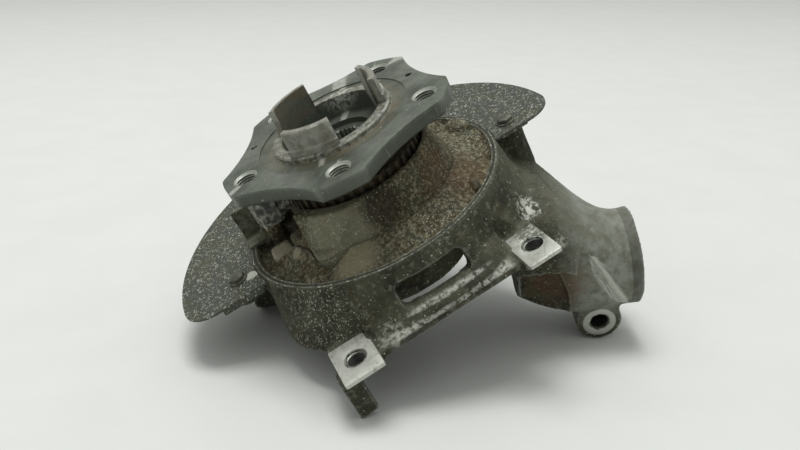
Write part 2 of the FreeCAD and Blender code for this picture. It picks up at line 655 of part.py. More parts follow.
def dish_slope():
    """Casting that slopes from the bearing's flange to the dish floor, open at the lugs and the sensor."""
    floor_z = RIM_Z - DISH_DEPTH
    inner = FLARE_R + 0.4
    slope = revolved([
        (inner, floor_z - 1), (inner, FLARE_Z - 1), (inner + 1.5, FLARE_Z - 0.4),
        (RIM_R - RIM_W - 2.5, floor_z + 0.3), (RIM_R - RIM_W - 2.5, floor_z - 1),
    ])
    half = BEARING_FLANGE_HALF + 0.4
    rooms = [box((GUARD_GAP_X[0] + 4, 12), (-RIM_R, -GUARD_R + 1), (floor_z - 2, 0))]
    for angle in BEARING_BOLT_ANGLES:
        room = box((half - BEARING_EAR[0] - 1, half), (-half, BEARING_EAR[1] - half + 1), (floor_z - 2, 0))
        rooms.append(room.rotated(vec(0, 0, 0), Z_UP, angle - BEARING_BOLT_ANGLES[0]))
    return slope.cut(rooms)


def dish_rib():
    """Short rib inside the rim on the strut side."""
    y = (RIM_R - 12.4, RIM_R - 2.4)
    rib = rounded_block((-8, 8), y, (RIM_Z - DISH_DEPTH - 1, RIM_Z + 3), 4.0, 3.0)
    return rib.rotated(vec(0, 0, 0), Z_UP, DISH_RIB_ANGLE - 90)


def knuckle():
    ball_at = vec(*BALL_JOINT_AT)
    steer_at = vec(*STEER_AT)
    solids = [
        skirt(),
        dish(),
        caliper_boss(CALIPER_Y[0] - PAD_HALF, CALIPER_Y[0] + PAD_HALF),
        caliper_boss(*PAD_UPPER_Y),
        box(STUB_X, STUB_Y, (STUB_END_Z, CALIPER_FACE_Z - 3)),
        strut_neck(),
        pinch_ears(),
        bar(vec(-20, -46, -78), ball_at, (20, 13), (11, 11)),
        bar(vec(-52, 4, -72), steer_at, (17, 9), (9, 9)),
    ]
    # Lip under the window, from one caliper lug to the other
    lip = box((82, 94.5), (-46, 40), (SKIRT_BOTTOM_Z, SKIRT_BOTTOM_Z + 6))
    long_edges = [e for e in lip.Edges if abs(e.Length - 86) < 1e-6]
    solids.append(lip.makeFillet(2.8, long_edges))
    ball_boss = Part.makeCylinder(BALL_JOINT_BOSS_R, BALL_JOINT_L, vec(0, 0, -BALL_JOINT_L / 2), Z_UP)
    ball_boss.Placement = frame_at(ball_at, PINCH_AXIS, STRUT_AXIS)
    solids.append(ball_boss)
    steer_boss = Part.makeCylinder(STEER_BOSS_R, STEER_L, vec(0, 0, -STEER_L / 2), Z_UP)
    steer_boss.Placement = frame_at(steer_at, PINCH_AXIS, STRUT_AXIS)
    solids.append(steer_boss)
    post_top = SHIELD_TOP_Z - SHIELD_T
    for angle, post_end in SHIELD_POSTS:
        at = shield_post_place(angle)
        solids.append(cylinder(SHIELD_POST_R, post_end, post_top, at.x, at.y))
        web = box((RIM_R - 6, at.Length), (-6, 6), (post_end + 2, post_top - 5))
        solids.append(web.rotated(vec(0, 0, 0), Z_UP, angle))
    body = solids[0].multiFuse(solids[1:])
    # The dish stays open, and so does the bore that holds the bearing
    floor_z = RIM_Z - DISH_DEPTH
    inside = cylinder(RIM_R - RIM_W - 0.6, floor_z, RIM_Z + 30).cut(cylinder(SEAT_R, floor_z - 1, SEAT_Z))
    inside_pieces = [dish_slope(), sensor_pedestal(), sensor_pad(), seat_land(), rim_bump(), dish_rib()]
    body = body.cut(inside).multiFuse(inside_pieces)
    cuts = [
        cylinder(PILOT_R, HUB_BOSS_END_Z - 30, SEAT_Z + 30),
        pad_cutter(CALIPER_Y[0] - PAD_HALF, CALIPER_Y[0] + PAD_HALF),
        pad_cutter(*PAD_UPPER_Y),
        window(),
    ]
    for y in CALIPER_Y:
        low = CALIPER_FACE_Z - CALIPER_HOLE_LENGTH - 20
        cuts.append(cylinder(CALIPER_HOLE_R, low, CALIPER_FACE_Z + 1, CALIPER_X, y))
    clear = BEARING_BOLT_R + BEARING_BOLT_CLEAR
    for x, y in bearing_bolt_places():
        cuts.append(cylinder(clear, BOLT_FACE_Z - 30, SEAT_Z + 1, x, y))
        cuts.append(cylinder(BEARING_BOLT_R + 7.0, BOLT_FACE_Z - 14, BOLT_FACE_Z, x, y))
    ball_bore = Part.makeCylinder(BALL_JOINT_BORE_R, BALL_JOINT_L * 2, vec(0, 0, -BALL_JOINT_L * 1.5), Z_UP)
    ball_bore.Placement = ball_boss.Placement
    steer_bore = Part.makeCylinder(STEER_BORE_R, STEER_L * 2, vec(0, 0, -STEER_L), Z_UP)
    steer_bore.Placement = steer_boss.Placement
    cuts += [ball_bore, steer_bore]
    for angle, post_end in SHIELD_POSTS:
        at = shield_post_place(angle)
        cuts.append(cylinder(SHIELD_SCREW_R, post_end - 1, SHIELD_TOP_Z + 1, at.x, at.y))
    bolt_x, bolt_y = SENSOR_BOLT_AT
    cuts.append(cylinder(SENSOR_BOLT_R, SENSOR_LUG_Z - 14, SENSOR_LUG_Z + 1, bolt_x, bolt_y))
    return body.cut(cuts + strut_cuts())


def pad_cutter(y_low, y_high):
    """Milling over a caliper pad, with a slightly sloping wall on the skirt's side."""
    z = CALIPER_FACE_Z
    outline = [
        (PAD_X[0], z), (PAD_X[1] + 20, z), (PAD_X[1] + 20, z + 26), (PAD_X[0] + 8, z + 26),
        (PAD_X[0] - 2.5, z + 9),
    ]
    points = [vec(x, y_low, height) for x, height in outline]
    return Part.Face(Part.makePolygon(points + [points[0]])).extrude(vec(0, y_high - y_low, 0))


def window():
    low, high = WINDOW_Z
    opening = box((62, 115), WINDOW_Y, (low, high))
    edges = [e for e in opening.Edges if abs(e.Length - 53) < 1e-6]
    return opening.makeFillet(3.0, edges)


def caliper_sleeve(y):
    """Rolled sleeve with a slit, pressed into a caliper hole."""
    low = CALIPER_FACE_Z - CALIPER_SLEEVE_L
    high = CALIPER_FACE_Z
    tube = cylinder(CALIPER_HOLE_R, low, high, CALIPER_X, y)
    tube = tube.cut(cylinder(CALIPER_HOLE_R - CALIPER_SLEEVE_T, low - 1, high + 1, CALIPER_X, y))
    slit = CALIPER_SLEEVE_SLIT / 2
    return tube.cut(box((CALIPER_X - 20, CALIPER_X), (y - slit, y + slit), (low - 1, high + 1)))


def dust_shield():
    top = SHIELD_TOP_Z
    low = top - SHIELD_T
    plate = cylinder(SHIELD_R, low, top, 0, SHIELD_CENTRE_Y).cut(cylinder(SHIELD_BORE_R, low - 1, top + 1))
    plate = plate.cut(box((SHIELD_EDGE_X, 200), (-200, 200), (low - 1, top + 1)))
    outer_corners = [e for e in plate.Edges
                     if abs(e.Length - SHIELD_T) < 1e-6 and abs(e.CenterOfMass.y) > SHIELD_R * 0.9]
    plate = plate.makeFillet(18.0, outer_corners)
    solids = [plate]
    for sign in (-1, 1):
        inner_y = math.sqrt(SHIELD_BORE_R ** 2 - SHIELD_EDGE_X ** 2) + 1
        outer_y = math.sqrt(SHIELD_R ** 2 - SHIELD_EDGE_X ** 2) - 19 + sign * SHIELD_CENTRE_Y
        y = sorted((sign * inner_y, sign * outer_y))
        x = (SHIELD_EDGE_X - SHIELD_LIP_T, SHIELD_EDGE_X)
        solids.append(box(x, y, (top - SHIELD_LIP, low + 0.2)))
    spots = [shield_post_place(angle) for angle, post_end in SHIELD_POSTS]
    holes = [cylinder(SHIELD_HOLE_R, low - 1, top + 1, at.x, at.y) for at in spots]
    return join(solids).cut(holes)


def shield_screw(x, y):
    shank = cylinder(SHIELD_SCREW_R, SHIELD_TOP_Z - 13, SHIELD_TOP_Z, x, y)
    washer = cylinder(SHIELD_HEAD_R + 1.5, SHIELD_TOP_Z, SHIELD_TOP_Z + 1.0, x, y)
    head = hexagon(SHIELD_HEAD_R, SHIELD_TOP_Z + 1.0, SHIELD_TOP_Z + 1.0 + SHIELD_HEAD_T, x, y)
    return join([shank, washer, head])


def speed_sensor():
    """Moulded block with a round nose that points at the tone ring, and a lug for its bolt."""
    tip_r = TONE_R + SENSOR_AIR_GAP
    out = polar(1, SENSOR_ANGLE)
    nose = Part.makeCylinder(SENSOR_R, 12.0, polar(tip_r, SENSOR_ANGLE, SENSOR_Z), out)
    head = rounded_block((-22, 4), (-62, -49), (SENSOR_LUG_Z + 1, SENSOR_TOP_Z), 2.5, 1.5)
    x, y = SENSOR_BOLT_AT
    lug = rounded_block((x - 7, 2), (y - 5, y + 4), (SENSOR_LUG_Z, SENSOR_LUG_Z + SENSOR_LUG_T), 3.5)
    room = cylinder(SENSOR_HEAD_R + 1.6, SENSOR_LUG_Z + SENSOR_LUG_T, 0, x, y)
    hole = cylinder(SENSOR_BOLT_R + 0.2, -60, 0, x, y)
    return join([nose, head, lug]).cut([room, hole])


def sensor_bolt():
    x, y = SENSOR_BOLT_AT
    seat = SENSOR_LUG_Z + SENSOR_LUG_T
    shank = cylinder(SENSOR_BOLT_R, SENSOR_LUG_Z - 12, seat, x, y)
    washer = cylinder(SENSOR_HEAD_R + 1, seat, seat + 1.0, x, y)
    head = hexagon(SENSOR_HEAD_R, seat + 1.0, seat + SENSOR_HEAD_T, x, y)
    return join([shank, washer, head]).cut(hexagon(2.6, seat + 1.8, seat + 10, x, y))


def sensor_bracket():
    """Bent sheet that guards the sensor's lead: a foot on the rim and an upright tab."""
    x, y = BRACKET_AT
    foot = box((x, x + 16), (y, y + 11), (RIM_Z, RIM_Z + BRACKET_T))
    tab = box((x, x + BRACKET_T), (y, y + 11), (RIM_Z, BRACKET_TOP_Z))
    return join([foot, tab])


def seal_running_r():
    return RACE_SHOULDER_R + 2


save("wheel_hub", wheel_hub())
save("tone_ring", tone_ring())
save("bearing_inner_ring", inner_ring())
save("bearing_outer_ring", bearing_outer_ring())
for number, (bolt_x, bolt_y) in enumerate(bearing_bolt_places(), start=1):
    save("bearing_bolt_%d" % number, bearing_bolt(bolt_x, bolt_y))
save("outboard_seal", seal(OUTER_RING_TOP_Z - SEAL_T, seal_running_r()))
save("inboard_seal", seal(OUTER_RING_END_Z, seal_running_r()))
save("outboard_balls", ball_row(ROW_OUT_Z))
save("inboard_balls", ball_row(ROW_IN_Z))
save("outboard_cage", cage(ROW_OUT_Z, -1))
save("inboard_cage", cage(ROW_IN_Z, 1))
save("knuckle", knuckle())
save("caliper_sleeve_lower", caliper_sleeve(CALIPER_Y[0]))
save("caliper_sleeve_upper", caliper_sleeve(CALIPER_Y[1]))
save("dust_shield", dust_shield())
for number, (post_angle, post_end) in enumerate(SHIELD_POSTS, start=1):
    spot = shield_post_place(post_angle)
    save("shield_screw_%d" % number, shield_screw(spot.x, spot.y))
save("speed_sensor", speed_sensor())
save("sensor_bolt", sensor_bolt())
save("sensor_bracket", sensor_bracket())
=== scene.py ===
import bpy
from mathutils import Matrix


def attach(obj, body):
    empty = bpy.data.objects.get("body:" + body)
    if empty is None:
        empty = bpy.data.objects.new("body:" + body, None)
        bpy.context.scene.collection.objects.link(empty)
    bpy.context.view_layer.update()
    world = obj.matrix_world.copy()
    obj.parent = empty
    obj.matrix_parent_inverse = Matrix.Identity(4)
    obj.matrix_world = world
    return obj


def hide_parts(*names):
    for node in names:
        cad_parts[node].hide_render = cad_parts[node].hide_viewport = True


bl_info = {
    "name": "Wheel Hub Dressing",
    "version": (1, 0, 0),
    "blender": (4, 5, 0),
    "location": "View3D > Sidebar > Wheel Hub",
    "description": "Dresses the packed wheel hub in worn casting, machined steel and caked dirt",
    "category": "Object",
}

import math

import bpy
from bpy.props import FloatProperty, FloatVectorProperty, IntProperty, PointerProperty
from mathutils import Matrix, Vector

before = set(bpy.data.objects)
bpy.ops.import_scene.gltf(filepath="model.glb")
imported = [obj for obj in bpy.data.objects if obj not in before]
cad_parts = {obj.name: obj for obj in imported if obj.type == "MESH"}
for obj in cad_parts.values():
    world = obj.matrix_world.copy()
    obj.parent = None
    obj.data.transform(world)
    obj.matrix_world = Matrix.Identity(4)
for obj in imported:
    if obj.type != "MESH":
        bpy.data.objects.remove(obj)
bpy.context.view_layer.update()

MM = 0.001
MERGE_DISTANCE = 0.00002
CASTING_BODY = "knuckle"
HUB_BODY = "hub"

# Places taken from the part, in millimetres
WHEEL_PCD = 112.0
WHEEL_HOLES = 5
WHEEL_FIRST_ANGLE = -86.75
WHEEL_THREAD_R = 6.2
WHEEL_THREAD_LIFT = 0.6
FLANGE_T = 8.5
PAD_X = (72.5, 103.3)
PAD_LOWER_Y = (-67.7, -45.1)
PAD_UPPER_Y = (41.0, 60.3)
PAD_Z = -78.0
PAD_DEPTH = 2.0
PAD_CORNER = 1.2
PAD_EDGE = 0.2
CALIPER_X = 88.0
CALIPER_Y = (-56.4, 51.8)
SLEEVE_R = 6.5
SLEEVE_BORE_R = 5.5
SLEEVE_THREAD_DEPTH = 8.2
SLEEVE_THREAD_TURNS = 5
RIM_Z = -50.0
RIM_BEADS = (75.5, 77.8)
STRUT_END = (61.0, 114.0, -145.0)
STRUT_PLAN = math.radians(69.0)
STRUT_LEAN = math.radians(15.0)
STRUT_AXIS = (
    math.cos(STRUT_LEAN) * math.cos(STRUT_PLAN),
    math.cos(STRUT_LEAN) * math.sin(STRUT_PLAN),
    -math.sin(STRUT_LEAN),
)
PINCH_AXIS = (math.sin(STRUT_PLAN), -math.cos(STRUT_PLAN), 0.0)
PINCH_BACK = 25.0
PINCH_OFFSET = 30.5
PINCH_FACE_OUT = 22.6

# Scrape beside the pinch boss
LENS_CENTRE = (78.3, 87.5, -138.0)
LENS_LENGTHWISE = (-0.006, 0.250, -0.968)
LENS_SIDEWAYS = (0.555, 0.808, 0.200)
LENS_HALF_LENGTH = 26.0
LENS_HALF_WIDTH = 6.0

# Shield: its bore, turned-down lip and bolts, in millimetres
SHIELD_TOP_Z = -52.0
SHIELD_BOLTS = ((8.06, 90.34), (0.95, -90.7), (-90.7, 0.0))
SHIELD_BORE_R = 82.0
SHIELD_SNUG_R = 79.4
SHIELD_EDGE_REACH = 0.4
SHIELD_LIP_BELOW = 2.0
SHIELD_LIP_LIFT = 2.4
SHIELD_BOLT_R = 5.0
SHIELD_BOLT_H = 3.0

# Cast skin, threads and rim beads: lengths of waves and heights in metres, half widths in millimetres
CASTING_FACES = 190000
CAST_WAVE_LENGTH = 0.016
CAST_PIT_LENGTH = 0.0028
RING_WAVE_LENGTH = 0.008
RING_WAVE_SHARE = 0.8
BEAD_WAVE_LENGTH = 0.006
BEAD_WAVE = 0.0009
BEAD_HALF = (0.45, 0.5)
THREAD_ROOT = 0.0002
THREAD_HALF_SHARE = 0.42
THREAD_STEPS = 40

# Camera, floor and middle of the part, in millimetres
CAMERA_AT = (407.236, -47.258, 168.543)
CAMERA_RIGHT = (0.358, 0.842, -0.404)
CAMERA_UP = (-0.389, 0.528, 0.755)
CAMERA_AHEAD = (-0.849, 0.113, -0.516)
FLOOR_UP = (-0.0618, 0.4574, 0.8871)
FLOOR_POINT = (98.0, -70.0, -105.5)
OBJECT_MIDDLE = (20.0, 10.0, -70.0)
ROOM_DIM_SHARE = 0.04

# Packed mud in the dish: middle, half sizes and turn about the spin axis
DISH_MUD = (
    ((52.0, -34.0, -53.0), (10.0, 7.0, 4.4), -30),
    ((57.0, -25.0, -53.5), (8.5, 8.0, 4.0), -20),
    ((61.0, -14.0, -54.5), (7.0, 9.0, 3.4), -10),
    ((41.0, -49.0, -54.0), (13.0, 8.0, 4.8), -40),
    ((27.0, -60.0, -56.0), (12.0, 8.0, 4.2), -25),
    ((-1.0, -61.0, -54.5), (6.5, 3.6, 3.6), -20),
    ((5.0, -62.5, -54.8), (5.5, 2.8, 4.0), 12),
    ((19.5, -54.5, -51.5), (3.0, 2.6, 4.2), 30),
    ((46.0, 55.0, -51.8), (8.0, 4.4, 3.0), 130),
    ((52.0, 47.0, -52.8), (3.4, 2.8, 2.4), 130),
    ((-18.0, 66.0, -53.5), (13.0, 6.0, 3.8), 190),
    ((-42.0, 58.0, -54.5), (12.0, 6.0, 3.4), 220),
    ((4.0, 69.0, -54.5), (13.0, 5.5, 3.8), 176),
    ((24.0, 65.0, -55.0), (9.0, 5.0, 3.2), 160),
)
SEAM_MUD_ANGLES = range(-22, 141, 9)
SEAM_MUD_R = 54.0
SEAM_MUD_Z = -50.2
SEAM_MUD_HALF = (4.6, 7.0, 4.2)


def paint(red, green, blue):
    """Linear colour for the eight-bit values that a colour picker shows."""
    linear = []
    for value in (red, green, blue):
        share = value / 255
        linear.append(share / 12.92 if share <= 0.04045 else ((share + 0.055) / 1.055) ** 2.4)
    return tuple(linear)


def colour_property(name, description, default):
    return FloatVectorProperty(
        name=name, description=description, subtype="COLOR", size=3, min=0.0, max=1.0, default=default)


def length_property(name, description, default):
    return FloatProperty(name=name, description=description, default=default, unit="LENGTH")


class HubSizes(bpy.types.PropertyGroup):
    casting_skin: length_property("Casting skin", "Cell of the rounded cast skin", 0.0014)
    bearing_skin: length_property("Bearing skin", "Cell of the rounded bearing ring skin", 0.0011)
    cast_wave: length_property("Cast waves", "Height of the slow waves on the casting", 0.0007)
    cast_pits: length_property("Cast pits", "Height of the fine roughness on the casting", 0.00022)
    edge_round: length_property("Edge rounding", "Rounding of the hub's machined edges", 0.0003)
    wheel_pitch: length_property("Wheel thread pitch", "Pitch of the wheel bolt threads", 0.0015)
    caliper_pitch: length_property("Caliper thread pitch", "Pitch of the caliper sleeves' threads", 0.0015)
    thread_height: length_property("Thread height", "How far a thread stands in from its bore", 0.0007)
    pad_proud: length_property("Pad height", "How far a milled face stands above the casting", 0.00025)


class HubFinish(bpy.types.PropertyGroup):
    cast_dark: colour_property("Casting, dark", "Dirty casting in the hollows", paint(38, 39, 28))
    cast_mid: colour_property("Casting, middle", "Dirty casting overall", paint(68, 70, 54))
    cast_light: colour_property("Casting, light", "Rubbed casting", paint(110, 112, 96))
    cast_clean: colour_property("Casting, clean", "Smooth casting of the strut clamp", paint(148, 152, 143))
    cast_fleck: colour_property("Flecks", "Pale oxide flecks", paint(196, 198, 182))
    dish_brown: colour_property("Dish, brown", "Caked dirt in the dish", paint(72, 63, 40))
    dish_rust: colour_property("Dish, rust", "Reddish dirt in the dish", paint(98, 74, 54))
    dish_dust: colour_property("Dish, dust", "Pale dust in the dish", paint(146, 140, 114))
    bare_metal: colour_property("Bare aluminium", "Milled and scraped aluminium", paint(196, 198, 188))
    hub_grey: colour_property("Hub steel", "Machined face of the hub", paint(88, 95, 84))
    hub_dark: colour_property("Hub steel, dark", "Stained parts of the hub", paint(62, 67, 58))
    hub_rust: colour_property("Hub rust", "Light rust on the hub", paint(104, 92, 68))
    # Painted shade: near-black laid deep in bolt holes, between the rim beads and on the tone ring
    painted_shade_dark: colour_property("Bores", "Painted shade deep in the bolt holes", paint(20, 19, 15))
    lug_grey: colour_property("Lug wall", "Smooth dusty wall of the bearing lug", paint(126, 125, 104))
    mud_dark: colour_property("Mud, dark", "Oily mud near the bearing", paint(38, 31, 21))
    mud_pale: colour_property("Mud, pale", "Pale dried silt", paint(164, 158, 134))
    shield_grey: colour_property("Shield", "Sheet of the dust shield", paint(62, 66, 60))
    sensor_black: colour_property("Sensor", "Moulded body of the sensor", paint(44, 46, 42))


class HubStudio(bpy.types.PropertyGroup):
    floor: colour_property("Floor", "Plain pale floor", paint(224, 227, 222))
    lens: FloatProperty(name="Lens", description="Camera lens in millimetres", default=35.64)
    key_power: FloatProperty(
        name="Key light", description="Power of the large soft lamp", default=50.0, unit="POWER")
    fill_power: FloatProperty(
        name="Fill light", description="Power of the fill lamp", default=3.0, unit="POWER")
    room: FloatProperty(name="Room light", description="Strength of the light from overhead", default=0.85)
    floor_half: IntProperty(name="Floor", description="Half the width of the floor, in metres", default=3)


def sizes():
    return bpy.context.scene.hub_sizes


def finish_colours():
    return bpy.context.scene.hub_finish


# Modelling tools shared by the pieces


def deselect():
    if bpy.context.object and bpy.context.object.mode != "OBJECT":
        bpy.ops.object.mode_set(mode="OBJECT")
    bpy.ops.object.select_all(action="DESELECT")


def take(obj):
    deselect()
    obj.select_set(True)
    bpy.context.view_layer.objects.active = obj


def edit(obj, action="SELECT"):
    """Enters edit mode with everything selected, or nothing."""
    take(obj)
    bpy.ops.object.mode_set(mode="EDIT")
    bpy.ops.mesh.select_all(action=action)


def edit_where(obj, mode, wanted):
    """Enters edit mode with only those vertices or edges selected that are wanted."""
    edit(obj, "DESELECT")
    bpy.ops.mesh.select_mode(type=mode)
    bpy.ops.mesh.select_all(action="DESELECT")
    leave_edit()
    for part in obj.data.vertices if mode == "VERT" else obj.data.edges:
        part.select = wanted(part)
    bpy.ops.object.mode_set(mode="EDIT")


def leave_edit():
    bpy.ops.object.mode_set(mode="OBJECT")


def apply_place(obj):
    take(obj)
    bpy.ops.object.transform_apply(location=True, rotation=True, scale=True)


def apply_modifier(obj, name, kind, **settings):
    take(obj)
    modifier = obj.modifiers.new(name, kind)
    for setting, value in settings.items():
        setattr(modifier, setting, value)
    bpy.ops.object.modifier_apply(modifier=modifier.name)


def round_edges(obj, width, segments, degrees, **settings):
    """Rounds the edges that are sharper than an angle."""
    apply_modifier(obj, "edges", "BEVEL", width=width, segments=segments, limit_method="ANGLE",
                   angle_limit=math.radians(degrees), **settings)


def join_pieces(name, pieces):
    take(pieces[0])
    for piece in pieces:
        piece.select_set(True)
    bpy.ops.object.join()
    joined = bpy.context.object
    joined.name = name
    joined.data.name = name
    return joined


def node_copy(node, name):
    """A merged copy of a CAD node, ready to be shaped further."""
    obj = bpy.data.objects.new(name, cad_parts[node].data.copy())
    bpy.context.scene.collection.objects.link(obj)
    obj.data.materials.clear()
    take(obj)
    bpy.ops.mesh.customdata_custom_splitnormals_clear()
    edit(obj)
    bpy.ops.mesh.remove_doubles(threshold=MERGE_DISTANCE)
    leave_edit()
    return obj


def roughen(obj, size, height, depth=3):
    """Moves the surface in and out by a cloudy pattern fixed in space."""
    texture = bpy.data.textures.new(obj.name + "_waves", "CLOUDS")
    texture.noise_scale = size
    texture.noise_depth = depth
    texture.noise_basis = "ORIGINAL_PERLIN"
    apply_modifier(
        obj, "waves", "DISPLACE", texture=texture, texture_coords="LOCAL", strength=height, mid_level=0.5)


def cast_skin(obj, cell):
    """One closed skin of even cells, with its corners rounded as a casting's are."""
    apply_modifier(obj, "skin", "REMESH", mode="VOXEL", voxel_size=cell, adaptivity=0.0)
    apply_modifier(obj, "soften", "SMOOTH", factor=0.5, iterations=3)


def smooth_shade(obj, degrees):
    take(obj)
    bpy.ops.object.shade_smooth_by_angle(angle=math.radians(degrees))


def dress(obj, material, body, stands_for=None):
    """Gives a piece its finish and its body, and hides the CAD node that it stands for."""
    if not obj.data.polygons:
        raise RuntimeError(obj.name + " came out empty")
    obj.data.materials.clear()
    obj.data.materials.append(material)
    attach(obj, body)
    if stands_for:
        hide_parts(stands_for)


def lump(at, half, turn):
    """A rounded lump of dirt, placed in millimetres and turned in degrees."""
    deselect()
    bpy.ops.mesh.primitive_ico_sphere_add(subdivisions=3, radius=1.0)
    obj = bpy.context.object
    obj.scale = [size * MM for size in half]
    obj.rotation_euler = (0, 0, math.radians(turn))
    obj.location = [value * MM for value in at]
    apply_place(obj)
    return obj


def block(name, low, high):
    """A block between two corners in millimetres."""
    deselect()
    bpy.ops.mesh.primitive_cube_add(size=1.0)
    obj = bpy.context.object
    obj.name = name
    obj.scale = [(high[k] - low[k]) * MM for k in range(3)]
    obj.location = [(high[k] + low[k]) / 2 * MM for k in range(3)]
    apply_place(obj)
    return obj


def cylinder(sides, radius, depth, at, turn=0.0):
    """A cylinder with its middle at a place, in millimetres and degrees."""
    deselect()
    bpy.ops.mesh.primitive_cylinder_add(vertices=sides, radius=radius * MM, depth=depth * MM)
    obj = bpy.context.object
    obj.location = [value * MM for value in at]
    obj.rotation_euler = (0, 0, math.radians(turn))
    apply_place(obj)
    return obj


def tidy_normals(obj):
    edit(obj)
    bpy.ops.mesh.normals_make_consistent(inside=False)
    leave_edit()


def section(name, points):
    """A closed section in the XZ plane, ready to be turned about Z. Its points are in metres."""
    deselect()
    bpy.ops.mesh.primitive_circle_add(vertices=len(points), radius=1.0, fill_type="NOTHING")
    obj = bpy.context.object
    obj.name = name
    for vertex, (out, up) in zip(obj.data.vertices, points):
        vertex.co = (out, 0, up)
    return obj


def turned_ring(name, radius, height, half, sides, steps):
    """A ring turned about the spin axis from an oval section, in millimetres."""
    angles = [2 * math.pi * side / sides for side in range(sides)]
    points = [((radius - math.sin(angle) * half[0]) * MM, (height + math.cos(angle) * half[1]) * MM)
              for angle in angles]
    obj = section(name, points)
    apply_modifier(
        obj, "turn", "SCREW", axis="Z", angle=2 * math.pi, steps=steps, render_steps=steps,
        use_merge_vertices=True, merge_threshold=MERGE_DISTANCE)
    tidy_normals(obj)
    return obj


def helix(at, bore_r, z_low, turns, pitch, tooth):
    """A thread ridge that stands in from a bore. Places are in millimetres, pitch and tooth in metres."""
    root = bore_r * MM + THREAD_ROOT
    half = pitch * THREAD_HALF_SHARE
    low = z_low * MM
    obj = section("ridge", ((root, low - half), (bore_r * MM - tooth, low), (root, low + half)))
    apply_modifier(
        obj, "turn", "SCREW", axis="Z", angle=2 * math.pi, screw_offset=pitch, iterations=turns,
        steps=THREAD_STEPS, render_steps=THREAD_STEPS, use_merge_vertices=False)
    edit(obj, "DESELECT")
    bpy.ops.mesh.select_non_manifold()
    bpy.ops.mesh.fill()
    leave_edit()
    tidy_normals(obj)
    obj.location = (at[0] * MM, at[1] * MM, 0)
    apply_place(obj)
    return obj


def round_upright_edges(obj, width):
    """Rounds the upright corners of a block, by a width in millimetres."""
    def upright(edge):
        start, end = (obj.data.vertices[index].co for index in edge.vertices)
        return abs(start.z - end.z) > 0.0005

    edit_where(obj, "EDGE", upright)
    bpy.ops.mesh.bevel(offset=width * MM, segments=5)
    leave_edit()


def hex_bolt(name, at, z, radius, height):
    """A low hexagon head on its flange, with rounded corners. Sizes are in millimetres."""
    head = cylinder(6, radius, height, (at[0], at[1], z + height / 2), 17)
    round_edges(head, 0.5 * MM, 3, 40)
    flange = cylinder(40, radius + 0.9, 0.9, (at[0], at[1], z + 0.4))
    round_edges(flange, 0.3 * MM, 2, 40)
    bolt = join_pieces(name, [head, flange])
    smooth_shade(bolt, 40)
    return bolt


def drill(obj, at, radius):
    """Cuts a round hole through a piece along the spin axis."""
    tool = cylinder(64, radius, 100, (at[0], at[1], PAD_Z))
    apply_modifier(obj, "hole", "BOOLEAN", operation="DIFFERENCE", object=tool, solver="EXACT")
    bpy.data.objects.remove(tool)


# Shading tools shared by the finishes


